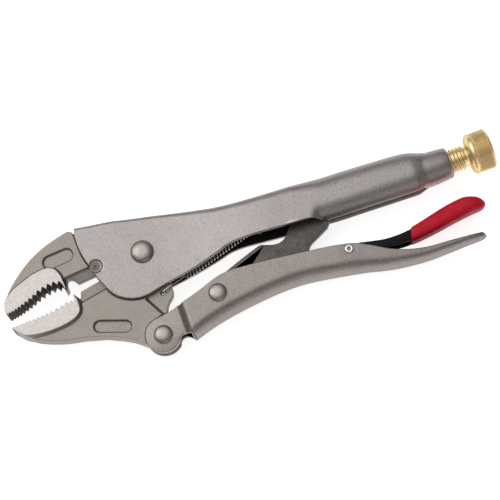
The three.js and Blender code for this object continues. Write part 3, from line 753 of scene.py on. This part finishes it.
def moving_handle():
    stations = [6, 6.5, 6.8, 7.2, 7.7, 8.5, 9.3, 10.1, 10.6, 11.2, 12, 13.4]
    stations += list(np.linspace(15, 95, 33)) + list(np.linspace(97, 150, 27))
    stations += [152, 154, 155.5, 156.6, 157.2, 157.8, 158.2, 158.6, 158.8, 159, 159.1, 159.2]

    def row(x, inset):
        return [(x, y, z) for z, y in moving_section(x, inset)]

    channel = closed_skin("moving_handle_channel", row, stations, MOVING_SHEET, MOVING)
    outline = arc(JAW_PIN, EAR_R, 95, 335, 60) + [(5, -47), (7.4, -47.2), (7.4, -31.8), (2, -33)]
    ear = lambda side: prism("ear", outline, *heights(side, EAR - MOVING_SHEET, EAR))
    notch = plate("notch", [
        (3.1, -60), (3.1, -49),
        *curve([(3.2, -48), (4.3, -46.5), (6.2, -45.9), (8.2, -46.2), (9.7, -47.2), (10.4, -48.6)], 24),
        (10.4, -60),
    ], PAST)
    tail = plate("tail end", [
        *curve([(156.6, -47.6), (157.7, -48.3), (158.6, -49), (158.9, -49.7),
                (158.6, -50.3), (157.7, -50.8), (156.8, -51.2)], 24),
        (162, -53), (162, -46),
    ], PAST)
    add(channel, *both_sides(ear))
    cut(channel, notch, tail)
    return round_edges(channel, 0.35, 38)


# ---- jaws
def teeth(tips, pitches, depths, into):
    """A toothed edge along a line of tips. Pitch and depth grow from the nose to the throat."""
    start, end = tips[0][0], tips[-1][0]
    line = smooth_table(tips)
    points = [(start, line(start))]
    x = start
    while x < end - 0.5:
        t = min(1, (x - start) / (end - start) * 1.6)
        step = min(x + pitches[0] + (pitches[1] - pitches[0]) * t, end)
        depth = depths[0] + (depths[1] - depths[0]) * t
        gullet = x + 0.42 * (step - x)
        points.append((gullet, line(gullet) + into * depth))
        points.append((step, line(step)))
        x = step
    return points


def cutter_bevel(start, end, reach, towards, side):
    """The wedge that thins one side of a cutter down to its edge."""
    start, end = Vector((*start, 0)), Vector((*end, 0))
    u = (end - start).normalized()
    v = Vector((-u.y, u.x, 0)) * towards
    section = [
        (0, PAST), (reach + 4, PAST), (reach + 4, CUTTER_LAND), (reach, CUTTER_LAND),
        (1.0, JAW_BODY - 1.5), (0.5, JAW_BODY - 1.2), (0, JAW_BODY - 0.3),
    ]
    rings = []
    for foot in (start, end):
        points = [(foot + v * across, z) for across, z in section]
        rings.append([(p.x, p.y, z * side) for p, z in points])
    return ringed("cutter bevel", rings)


FIXED_TIPS = [
    (-72.3, -7.6), (-66, -6.5), (-62, -5.4), (-58, -4.1), (-54, -2.5), (-50, -1.6), (-46, -1.2),
    (-41.6, -2.2),
]
MOVING_TIPS = [
    (-71.8, -13.7), (-66, -13.7), (-60, -13.4), (-54, -13), (-50, -12.5), (-46, -11.7), (-42, -10.9),
    (-38.6, -11.2),
]
FIXED_PAD_TOP = [
    (-65, 4.1), (-60, 6), (-55, 7.8), (-50, 8.7), (-46.5, 8.6), (-44, 7.6), (-42.3, 5.6), (-41.2, 2.5),
]
MOVING_PAD_LOW = [(-60, -21.6), (-52, -22), (-45, -21.3), (-40, -19.6), (-37.6, -17.2), (-36.9, -14)]
MOVING_NOSE = [(-71.1, -15.2), (-68.3, -18.4), (-65, -21.2), (-60, -24.5), (-50, -28.4)]
# each pocket's centre, length, width and slope in degrees
FIXED_POCKET = ((-40, 12), 16, 7.2, 4)
MOVING_POCKET = ((-25.2, -30), 19, 6.4, -20)
# each cutter's two ends, its width, and the side of the line between the ends that it lies on
FIXED_CUTTER = ((-40, 1.6), (-19, 3.4), 5.2, -1)
MOVING_CUTTER = ((-36, -13.7), (-22, -11.1), 6.1, 1)
PAD_SLOT, TOOTH_SHADE_SLOT, FLANK_SHADE_SLOT = 1, 2, 3


def pad_solid(name, outline, slope):
    """A raised pad whose sides slope outwards down to the jaw's body."""
    ring = np.array(outline)
    centre = np.mean(ring, axis=0)
    step = np.roll(ring, -1, axis=0) - np.roll(ring, 1, axis=0)
    normal = np.stack([step[:, 1], -step[:, 0]], 1)
    normal /= np.linalg.norm(normal, axis=1)[:, None]
    if ((ring - centre) * normal).sum() < 0:
        normal = -normal
    foot = ring + normal * slope
    return stacked(name, [(-JAW_PAD, ring), (-JAW_BODY + 0.1, foot), (JAW_BODY - 0.1, foot), (JAW_PAD, ring)])


def paint_jaw(obj, tips, below, above, pad_end):
    """Gives the pad's face its ground steel, and the pad's flanks and the teeth's walls darker materials that
    are painted shade. Teeth lie near the tips' line.
    """
    line = smooth_table(tips)
    for polygon in obj.data.polygons:
        x, y, z = ((c - o) / MM for c, o in zip(polygon.center, ORIGIN))
        n = polygon.normal
        toothed = line(x) - below < y < line(x) + above
        if x < pad_end + 0.4 and abs(z) > JAW_PAD - 0.3 and abs(n.z) > 0.86:
            polygon.material_index = PAD_SLOT
        # the pad's sloping flanks: painted shade
        elif x < pad_end + 2 and abs(z) > JAW_BODY + 0.35 and not toothed:
            polygon.material_index = FLANK_SHADE_SLOT
        # the teeth's side walls: painted shade
        elif x < pad_end + 1 and abs(n.z) < 0.5 and toothed:
            polygon.material_index = TOOTH_SHADE_SLOT


def sunk_pocket(centre, length, width, slope, side):
    """The solid that sinks a round-ended pocket into one side, with drafted walls."""
    floor = slot_outline(centre, length - 2 * POCKET_DRAFT, width - 2 * POCKET_DRAFT, slope)
    mouth = slot_outline(centre, length, width, slope)
    over = slot_outline(centre, length + 1, width + 1, slope)
    levels = ((JAW_BODY - POCKET_DEPTH, floor), (JAW_BODY, mouth), (JAW_BODY + 1, over))
    return stacked("pocket", [(z * side, loop) for z, loop in levels])


def fixed_jaw():
    body = plate("fixed_jaw_forging", [
        *curve([(-71.6, -8.4), (-72.2, -4.5), (-70.4, 0.8), (-65, 7.3), (-55, 15.1), (-45, 20), (-35, 22.9),
                (-31.3, 23.5)], 90),
        (-29.5, 22.5), *curve([(-29.3, 16.2), (-28.7, 8.8), (-27.4, 3.4), (-25.6, -2.2)], 24),
        (-34.5, -3), *curve([(-35, -2.2), (-36.4, -0.1), (-38.2, 0.7), (-40, -0.6), (-41.4, -3.2)], 24),
        (-44, -6), (-56, -9),
    ], JAW_BODY)
    pad = pad_solid("pad", [
        *curve([(-72.0, -9), (-72.2, -4), (-70.8, 0), (-68.5, 2)], 18)[:-1],
        *curve([(-68.5, 2), *FIXED_PAD_TOP], 50),
        (-40.7, -4), (-44, -7), (-56, -10),
    ], 0.9)
    tang = plate("tang", [
        (-32, 21), (-30, 22), (-26, 20.8), (-15.5, 18.6), *arc((0, 0), 16, 122, 176, 30),
        (-17.5, -1.2), (-26, -2.2), (-32, 0),
    ], TANG)
    inside = plate("inside", [
        *curve([(-71.6, -8.4), (-72.3, -4.5), (-70.4, 0.9), (-65, 7.4), (-55, 15.2), (-45, 20.1),
                (-35, 23)], 60),
        (-20, 23), (-20, -30), (-72, -30),
    ], PAST)
    edge = teeth(FIXED_TIPS, (1.35, 2.9), (0.8, 2.3), 1)
    bite = plate("bite", [*edge, (-41.3, -3.6), (-41.3, -20), (-80, -20), (-80, -7)], PAST)
    add(body, tang)
    cut(body, *both_sides(lambda side: cutter_bevel(*FIXED_CUTTER, side)))
    cut(body, *both_sides(lambda side: sunk_pocket(*FIXED_POCKET, side)))
    add(body, keep(pad, inside))
    cut(body, bite)
    return forged(body)


def thinned_tab(side):
    """What thins the spring's tab on one side, with a sloping step up to the jaw behind it."""
    low = [(0.9, -33.6), (-5.1, -22.4), (-2, -20), (12, -18), (12, -34)]
    high = [(-2.3, -34.2), (-8.3, -23), (-2, -20), (12, -18), (12, -34)]
    return stacked("thinned tab", [(TAB_HALF * side, low), ((TAB_HALF + 4) * side, high)])


def moving_jaw():
    body = plate("moving_jaw_forging", [
        *curve([(-71.8, -13), *MOVING_NOSE, (-40, -30.6)], 60),
        *curve([(-30, -33.5), (-20, -38.5), (-14, -43), (-9.5, -47.6)], 30),
        *arc(JAW_PIN, JAW_END_R, 220, 330, 40), (0, -38), (0.2, -33.2),
        *curve([(-2.6, -22), (-8, -22), (-13.2, -20.7), (-17.7, -18), (-20.9, -14.4), (-23.8, -8),
                (-24.6, -5.2)], 50),
        (-34.8, -7.2), *curve([(-35.2, -9.2), (-36, -10.8), (-37.2, -11.6)], 12),
        (-42, -9), (-60, -11),
    ], JAW_BODY)
    pad = pad_solid("pad", [
        *curve([(-71.8, -12), (-71.8, -15.5), (-69.8, -18.4), (-66.5, -20.2)], 16)[:-1],
        *curve([(-66.5, -20.2), *MOVING_PAD_LOW], 50),
        (-37.2, -11.2), (-38.5, -9), (-46, -9), (-60, -11),
    ], 1.1)
    inside = plate("inside", [
        *curve([(-71.8, -12), (-71.7, -14), *MOVING_NOSE], 60),
        (-30, -28), (-30, 0), (-71.8, 0),
    ], PAST)
    tang = plate("tang", [
        *arc((0, 0), 12.4, -15, 160, 60),
        *curve([(-15.5, -2.6), (-20, -4.4), (-26, -5.6)], 12),
        (-26, -12), (-16, -24), (-3, -34.5), (0.4, -32.8),
        *curve([(1.6, -32.4), (2.8, -30), (4.2, -27.8), (6.8, -25.3), (8, -22.6), (7.7, -21)], 30),
        (9.6, -12),
    ], TANG)
    end = plate("end", [*arc(JAW_PIN, JAW_END_R, 200, 370, 50), (2, -36), (0.3, -32.9), (-12, -33)], JAW_END)
    edge = teeth(MOVING_TIPS, (1.35, 2.7), (0.7, 1.6), -1)
    bite = plate("bite", [*edge, (-38.3, -9.9), (-38.3, 0), (-80, 0), (-80, -13)], PAST)
    neck = [(-3.4, -33.5), (0, -32.8), (8, -30.4), (12, -50), (-3.4, -55)]
    add(body, tang)
    cut(body, *both_sides(lambda side: cutter_bevel(*MOVING_CUTTER, side)))
    cut(body, *both_sides(lambda side: sunk_pocket(*MOVING_POCKET, side)))
    add(body, keep(pad, inside))
    cut(body, *both_sides(lambda side: disc("ear room", JAW_PIN, EAR_R + 0.1, side, JAW_END, PAST, 96)))
    cut(body, *both_sides(lambda side: prism("ear neck", neck, *heights(side, JAW_END, PAST))))
    add(body, end)
    sink = 1.9 + TAB_HALF
    hole = spool("hole", SPRING_HOLE, [(0, sink), (3.2, sink), (1.0, TAB_HALF - 0.6)], 40)
    cut(body, bite, hole, *both_sides(thinned_tab))
    return forged(body)


# ---- link, lever, grip
def toggle_link():
    arm = plate("toggle_link_plate", [
        *curve([(28, -26.6), (35, -22.9), (53, -16.6), (57, -16.8), (60.5, -18), (64, -18.3), (67, -17.2),
                (69.4, -14.6)], 64),
        *curve([(74, -9.4), (80, -6.2), (88, -4.8), (91.5, -4.9)], 24),
        *arc((91.5, -9), 4, 80, -60, 24),
        *curve([(89, -18.4), (84.4, -20.8), (78.4, -23.9), (76.2, -27.1), (75.2, -31)], 32),
        *curve([(72, -32.6), (60, -34.5), (45, -37.5), (30, -39.7)], 24),
        *arc(LINK_PIN, LINK_END_R, 275, 90, 48)[1:],
    ], LINK_HALF)
    add(arm, spool("hub", LINK_PIN, [(0, LINK_HUB_HALF), (LINK_HUB_R, LINK_HUB_HALF)]))
    return round_edges(arm, 0.35, 30)


def release_lever():
    """A stamped channel round the pin that narrows to a tongue inside the sleeve."""
    outline = [
        *curve([(78, -35.4), (84, -34.4), (90, -33.4), (95, -32.2), (100, -32.5), (107, -34.1), (113, -35.2),
                (120, -35.4), (126.4, -34.8)], 64),
        *curve([(127.2, -36.7), (140, -34.2), (157, -31.9)], 20),
        *curve([(157, -33.9), (140, -36.9), (126, -39.1)], 20),
        *curve([(124.6, -40.1), (119, -40), (108, -39), (94, -38.8), (82, -38.6), (77.5, -37.2)], 40),
    ]
    inside = [
        *curve([(70, -36.8), (84, -36), (90, -35), (100, -34.5), (107, -36.2), (113, -37.4),
                (126.4, -37.8)], 40),
        (126.4, -45), (70, -45),
    ]
    lever = plate("release_lever_stamping", outline, LEVER_HALF)
    tongue = plate("tongue", outline, TONGUE_HALF)
    keep(tongue, plate("narrow", [(124, -50), (170, -50), (170, -20), (124, -20)], PAST))
    cut(lever, plate("inside", inside, LEVER_HALF - LEVER_SHEET))
    cut(lever, plate("tail", [(127, -50), (170, -50), (170, -20), (128, -20)], PAST))
    add(lever, tongue)
    return round_edges(lever, 0.3, 35, 2)


def lever_grip():
    """The dipped sleeve: rounded-rectangle rings along the lever, with a slanted front end."""
    top = smooth_table([
        (124.0, -34.4), (126.4, -33.6), (131, -32.6), (138, -30.9), (145, -29.3), (151, -28.4),
        (155.5, -28.2), (161, -29.9), (163.4, -32), (164.2, -34),
    ])
    low = smooth_table([
        (124.0, -40.9), (130, -40.5), (138, -39.5), (148, -37.9), (156, -36.9), (161.5, -36.5),
        (163.4, -35.7), (164.2, -34.6),
    ])
    mouth_x, end_x = 124.3, 164.2
    slant, nose_x, nose = 1.9, 156, 8.6
    around, squareness = 48, 3.2
    rings = []
    for s in [0, 0.006, 0.02, *np.linspace(0.05, 0.9, 34), 0.93, 0.955, 0.975, 0.99, 1.0]:
        ring = []
        for k in range(around):
            a = 2 * math.pi * k / around
            c, d = math.cos(a), math.sin(a)
            up = math.copysign(abs(d) ** (2 / squareness), d)
            out = math.copysign(abs(c) ** (2 / squareness), c)
            start = mouth_x + slant * (up + 1) / 2
            x = start + (end_x - start) * s
            t, b = top(x), low(x)
            edge = 0.93 if s == 0 else (0.985 if s < 0.01 else 1)
            narrowed = 1 - max(0, (x - nose_x) / nose) ** 2
            width = GRIP_HALF * min(1, math.sqrt(max(0.02, narrowed)))
            ring.append((x, (t + b) / 2 + (t - b) / 2 * up * edge, width * out * edge))
        rings.append(ring)
    return ringed("release_lever_sleeve", rings)


# ---- screw and knob
def adjusting_screw():
    """A right-hand thread: crest and root climb one pitch a turn, with the shank through it."""
    turn = 48
    x0, x1 = THREAD_X[0], THREAD_X[1] + 0.6
    steps = int((x1 - x0) / THREAD_PITCH * turn)
    section = [(0, 0.08), (0.06, 0.95), (0.14, 1), (0.3, 1), (0.38, 0.95), (0.62, 0.05), (0.72, 0), (0.9, 0)]
    across = len(section)
    vertices = []
    for k in range(steps + turn + 1):
        a = 2 * math.pi * k / turn
        for dx, height in section:
            x = x0 - THREAD_PITCH + THREAD_PITCH * (k / turn + dx)
            starting = smoothstep(x, x0 - 0.5, x0 + 1.5)
            ending = smoothstep(x, THREAD_X[1] - 1.6, THREAD_X[1] + 0.1)
            r = THREAD_ROOT_R + (THREAD_R - THREAD_ROOT_R) * height * starting * (1 - ending)
            vertices.append((x, SCREW_Y + r * math.cos(a), r * math.sin(a)))
    faces = []
    at = lambda k, p: k * across + p if p < across else (k + turn) * across
    for k in range(steps):
        for p in range(across):
            faces.append([at(k, p), at(k + 1, p), at(k + 1, p + 1), at(k, p + 1)])
    for k, last in ((0, False), (steps, True)):
        x = x0 - THREAD_PITCH + THREAD_PITCH * (k / turn + 0.7)
        vertices.append((x, SCREW_Y, 0))
        hub = len(vertices) - 1
        loop = [at(k, p) for p in range(across + 1)] + [at(k + j, 0) for j in range(turn - 1, 0, -1)]
        for i, v in enumerate(loop):
            after = loop[(i + 1) % len(loop)]
            faces.append([hub, after, v] if last else [hub, v, after])
    screw = mesh_object("adjusting_screw_thread", vertices, faces)
    shank = turned_x("shank", [
        (0, SCREW_TIP_X), (3.4, SCREW_TIP_X), (3.8, SCREW_TIP_X + 0.15), (4.7, SCREW_TIP_X + 1.2),
        (4.7, THREAD_X[1] + 0.9), (4.3, THREAD_X[1] + 1.1), (4.3, KNOB_X1 - 3), (0, KNOB_X1 - 3),
    ], 72)
    return add(screw, shank)


def knurled_band(x0, x1):
    """Diamond knurling: pyramids between two sets of crossing grooves."""
    per = 8
    pitch = 2 * math.pi * KNOB_R / KNURLS
    rows = max(8, round((x1 - x0) / pitch * per))
    wave = lambda t: abs((t % 1) - 0.5) * 2
    rings = []
    for i in range(rows + 1):
        x = x0 + (x1 - x0) * i / rows
        fade = max(0, min(1, (x - x0) / 0.5, (x1 - x) / 0.5))
        ring = []
        for j in range(KNURLS * per):
            a = 2 * math.pi * j / (KNURLS * per)
            u, v = a * KNOB_R / pitch, (x - x0) / pitch
            groove = max(0, 1 - min(wave(u + v), wave(u - v)) * 2.2)
            r = KNOB_R - 0.1 - KNURL_DEPTH * groove - 0.35 * (1 - fade)
            ring.append((x, SCREW_Y + r * math.cos(a), r * math.sin(a)))
        rings.append(ring)
    return ringed("knurl", rings)


def adjusting_knob():
    """A bevelled flange and a knurled band on one core, bored for the shank."""
    x0, x1, r = KNOB_X0, KNOB_X1, KNOB_R
    socket = x1 - KNOB_END
    knob = turned_x("adjusting_knob_knurled", [
        (KNOB_BORE_R, x0), (r - 2.0, x0), (r - 1.6, x0 + 0.12), (r - 0.5, x0 + 1.0), (r - 0.15, x0 + 1.5),
        (r - 0.1, x0 + 2.0), (r - 0.1, x0 + 2.7), (r - 0.3, x0 + 3.0), (r - 0.55, x0 + 3.15),
        (r - 0.6, x0 + 3.5), (r - 0.8, x1 - 1.4), (r - 0.8, x1 - 0.75), (r - 1.1, x1 - 0.3),
        (r - 1.7, x1 - 0.03), (r - 2.2, x1), (0, x1), (0, socket), (KNOB_BORE_R, socket), (KNOB_BORE_R, x0),
    ], 192)
    band = knurled_band(x0 + 3.45, x1 - 0.8)
    hollow = turned_x("hollow", [(0, x0 - 1), (KNOB_BORE_R, x0 - 1), (KNOB_BORE_R, socket), (0, socket)])
    return add(knob, cut(band, hollow))


# ---- rivets, pin, spring
def dome(name, centre, shank_r, head_r, face, height):
    """A through rivet: both heads domed, with a small upright rim and a soft edge."""
    rim = 0.4
    half = []
    for a in np.radians(np.linspace(90, 8, 16)):
        r = head_r * math.cos(a) ** 0.8 if a < 1.57 else 0
        half.append((r, face + rim + (height - rim) * math.sin(a)))
    edge = [(head_r, face + rim), (head_r, face + 0.15), (head_r - 0.12, face + 0.05), (shank_r, face + 0.05)]
    return spool(name, centre, half + edge, 96)


def flush_rivet():
    """Its head fills the dimple: a shallow cup with a centre mark."""
    face = CHEEK - 0.45
    seat = CHEEK - 0.97
    return spool("fixed_jaw_rivet_head", JAW_RIVET, [
        (0, face - 0.35), (0.45, face - 0.3), (0.75, face + 0.12), (1.1, face + 0.18), (1.5, face - 0.25),
        (2.0, face - 0.3), (2.5, face - 0.05), (2.9, face - 0.02), (3.05, face - 0.15), (3.05, seat),
        (2.2, seat),
    ], 64)


def hollow_pin():
    """The small rolled pin of the release lever, cupped at both ends."""
    face = MOVING_HALF
    return spool("release_lever_hollow_pin", LEVER_PIN, [
        (0, face - 1.6), (0.75, face - 1.4), (0.85, face + 0.2), (0.95, face + 0.42), (1.2, face + 0.58),
        (1.5, face + 0.6), (1.85, face + 0.5), (2.1, face + 0.3), (2.15, face + 0.05), (1.6, face + 0.05),
    ], 64)


def sweep(name, path, r):
    """A round wire along a path, its section carried along without twisting."""
    p = np.array(path, float)
    tangent = np.gradient(p, axis=0)
    tangent /= np.linalg.norm(tangent, axis=1)[:, None]
    side = np.cross(tangent[0], (0.3, 0.2, 1))
    side /= np.linalg.norm(side)
    rings = []
    for q, t in zip(p, tangent):
        side = side - t * (side @ t)
        side /= np.linalg.norm(side)
        up = np.cross(t, side)
        angles = 2 * math.pi * np.arange(WIRE_SIDES) / WIRE_SIDES
        rings.append([q + r * (math.cos(a) * side + math.sin(a) * up) for a in angles])
    return ringed(name, rings)


def spring_path():
    """Through the tab's hole, up to the coil, along it and round the anchor pin."""
    ax, ay = SPRING_ANCHOR
    hx, hy = SPRING_HOLE
    along = np.array((COIL_SPAN_X, COIL_SPAN_X * math.tan(COIL_SLOPE)))
    aside = COIL_R * np.array((-math.sin(COIL_SLOPE), math.cos(COIL_SLOPE)))
    reach = TANG + 0.9
    points = [
        (hx - 1.2, hy - 0.6, -reach), (hx, hy, -reach + 0.5), (hx, hy, 0), (hx, hy, reach - 0.5),
        (hx + 0.6, hy + 0.2, reach), (hx + 5.2, hy + 1.7, reach), (hx + 9.5, hy + 3.6, COIL_R + 0.2),
    ]
    steps = COIL_TURNS * 18
    for i in range(steps + 1):
        a = 2 * math.pi * COIL_TURNS * i / steps
        x, y = COIL_START + along * i / steps + aside * math.sin(a)
        points.append((x, y, COIL_R * math.cos(a)))
    points += [(ax - 1.6, ay + 1.1, 0.8), (ax + 0.2, ay + 1.75, 0), (ax + 1.8, ay, -0.4)]
    return points


def return_spring():
    """The wire, evenly stepped along a spline through the points of its path."""
    path = spring_path()
    fine = curve(path, len(path) * 6)
    return sweep("return_spring_wire", resample(fine, np.linspace(0, 1, 900)), WIRE_R)


def anchor_pin():
    reach = half_size("spring_anchor")[2]
    return spool("spring_anchor_pin", SPRING_ANCHOR, [(0, reach), (0.8, reach), (1.1, reach - 0.3)], 32)


# ---- the pieces
DOMES = [
    # piece, centre, shank and head radius, the sheet's face and the head's height, body, node
    ("jaw_pivot_dome", (0, 0), 4, 5.7, CHEEK, 2.5, "fixed_frame", "jaw_pivot_rivet"),
    ("moving_handle_dome", JAW_PIN, 3, 4.6, EAR, 2.1, "handle", "moving_handle_rivet"),
    ("link_dome", LINK_PIN, 3, 4.5, MOVING_HALF, 2, "handle", "link_rivet"),
]


def squash_spring(spring):
    """Gives the spring a mesh of its own."""
    start, anchor = Vector(SPRING_HOLE), Vector(SPRING_ANCHOR)
    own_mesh(spring)


def build():
    # each handle's second material is painted shade on its inner faces
    show(fixed_handle(), "fixed_frame", "fixed_handle", "handle_steel", HANDLE, CHANNEL_SHADE)
    show(moving_handle(), "handle", "moving_handle", "moving_handle_steel", MOVING, CHANNEL_SHADE)
    # each jaw's third and fourth materials are painted shade, on the teeth's walls and on the pad's flanks
    upper = show(fixed_jaw(), "fixed_frame", "fixed_jaw", "jaw_steel", JAW, GROUND, TOOTH_SHADE, FLANK_SHADE)
    lower = show(moving_jaw(), "jaw", "moving_jaw", "jaw_steel", JAW, GROUND, TOOTH_SHADE, FLANK_SHADE)
    paint_jaw(upper, FIXED_TIPS, 1, 3, -40.4)
    paint_jaw(lower, MOVING_TIPS, 2.5, 1, -38.0)
    show(flush_rivet(), "fixed_frame", "fixed_jaw_rivet", "rivet_steel", COINED)
    for *shape, body, node in DOMES:
        show(dome(*shape), body, node, "rivet_steel", RIVET)
    show(toggle_link(), "link", "toggle_link", "link_steel", LINK)
    show(release_lever(), "lever", "release_lever", "lever_black", LEVER)
    show(lever_grip(), "lever", "release_lever_grip", "red_vinyl", VINYL, angle=60)
    show(hollow_pin(), "handle", "release_lever_pin", "bright_nickel", NICKEL, angle=60)
    show(adjusting_screw(), "screw", "adjusting_screw", "screw_brass", BRASS)
    show(adjusting_knob(), "knob", "adjusting_knob", "screw_brass", BRASS, angle=30)
    spring = show(return_spring(), "fixed_frame", "return_spring", "spring_steel", SPRING, angle=60)
    show(anchor_pin(), "fixed_frame", "spring_anchor", "link_steel", LINK)
    squash_spring(spring)


# ---- camera, light and floor
TARGET = (49.6, -16.0, 0.0)
CAMERA_X = 40.0
DISTANCE = 1100.0
TILT = math.radians(18)
ROLL = math.radians(19.8)
FRAME_WIDTH = 243.0
SENSOR = 36.0
LIGHTS = [
    # name, direction (back, up, right), distance and size in metres, watts
    ("softbox", (0.45, 0.31, -0.20), 0.58, 0.44, 0.5),
    ("key", (0.8, 0.6, -1.0), 1.6, 1.0, 4),
    ("fill", (0.62, -0.8, 0.35), 1.6, 1.4, 3.2),
]
SKY_GREYS = ((0.55, 0.18), (1.0, 1.0))  # cosine to the brightest direction, grey level
SKY_STRENGTH = 1.02
FLOOR_REACH, FLOOR_DROP = 3.0, 0.0003  # metres


def camera():
    """Looks down on the cheek, tilted towards -Y. Returns its axes and what it looks at."""
    target = ORIGIN + Vector(TARGET) * MM
    back = Vector(((CAMERA_X - TARGET[0]) / DISTANCE, -math.sin(TILT), math.cos(TILT))).normalized()
    side = (Vector((1, 0, 0)) - back * back.x).normalized()
    above = back.cross(side)
    right = side * math.cos(ROLL) - above * math.sin(ROLL)
    up = side * math.sin(ROLL) + above * math.cos(ROLL)
    data = bpy.data.cameras.new("camera")
    data.sensor_width = SENSOR
    data.lens = SENSOR * DISTANCE / FRAME_WIDTH
    data.clip_start, data.clip_end = 0.05, 20
    data.dof.use_dof = False
    obj = in_scene("camera", data)
    turn = Matrix((right, up, back)).transposed().to_4x4()
    obj.matrix_world = Matrix.Translation(target + back * DISTANCE * MM) @ turn
    bpy.context.scene.camera = obj
    return right, up, back, target


def area_light(name, direction, distance, size, power, target):
    data = bpy.data.lights.new(name, "AREA")
    data.shape = "RECTANGLE"
    data.size = data.size_y = size
    data.energy = power
    obj = in_scene(name, data)
    obj.location = target + direction * distance
    obj.rotation_mode = "QUATERNION"
    obj.rotation_quaternion = direction.to_track_quat("Z", "Y")


def sky(brightest):
    """A world that fades from white, in the brightest direction, to dark grey."""
    world = bpy.data.worlds.new("studio")
    bpy.context.scene.world = world
    world.use_nodes = True
    tree = world.node_tree
    shader = tree.nodes["Background"]
    towards = tree.nodes.new("ShaderNodeVectorMath")
    towards.operation = "DOT_PRODUCT"
    towards.inputs[1].default_value = brightest
    ramp = tree.nodes.new("ShaderNodeValToRGB")
    for element, (position, level) in zip(ramp.color_ramp.elements, SKY_GREYS):
        element.position = position
        element.color = grey(level)
    coordinates = tree.nodes.new("ShaderNodeTexCoord").outputs["Generated"]
    tree.links.new(coordinates, towards.inputs[0])
    tree.links.new(towards.outputs["Value"], ramp.inputs["Fac"])
    tree.links.new(ramp.outputs["Color"], shader.inputs["Color"])
    shader.inputs["Strength"].default_value = SKY_STRENGTH


def pale_floor():
    low, high = (Vector(corner) for corner in CAD_BOX)
    centre = (low + high) / 2
    reaches = [Vector((x, y, 0)) * FLOOR_REACH for x, y in ((-1, -1), (1, -1), (1, 1), (-1, 1))]
    corners = [(centre.x + reach.x, centre.y + reach.y, low.z - FLOOR_DROP) for reach in reaches]
    mesh = bpy.data.meshes.new("floor")
    mesh.from_pydata(corners, [], [(0, 1, 2, 3)])
    floor = in_scene("floor", mesh)
    n = Nodes("pale floor")
    n.drive("Base Color", n.ramp(n.noise(0.002, detail=2), (0.3, grey(0.60)), (0.7, grey(0.62))))
    n.set(Roughness=0.9, Emission_Color=grey(1), Emission_Strength=0.8)
    mesh.materials.append(n.material)


def studio():
    right, up, back, target = camera()
    bpy.context.scene.view_settings.view_transform = "Standard"
    sky((back * 0.80 + up * 0.52 - right * 0.42).normalized())
    for name, (b, u, r), distance, size, power in LIGHTS:
        direction = (back * b + up * u + right * r).normalized()
        area_light(name, direction, distance, size, power, target)
    pale_floor()


build()
studio()
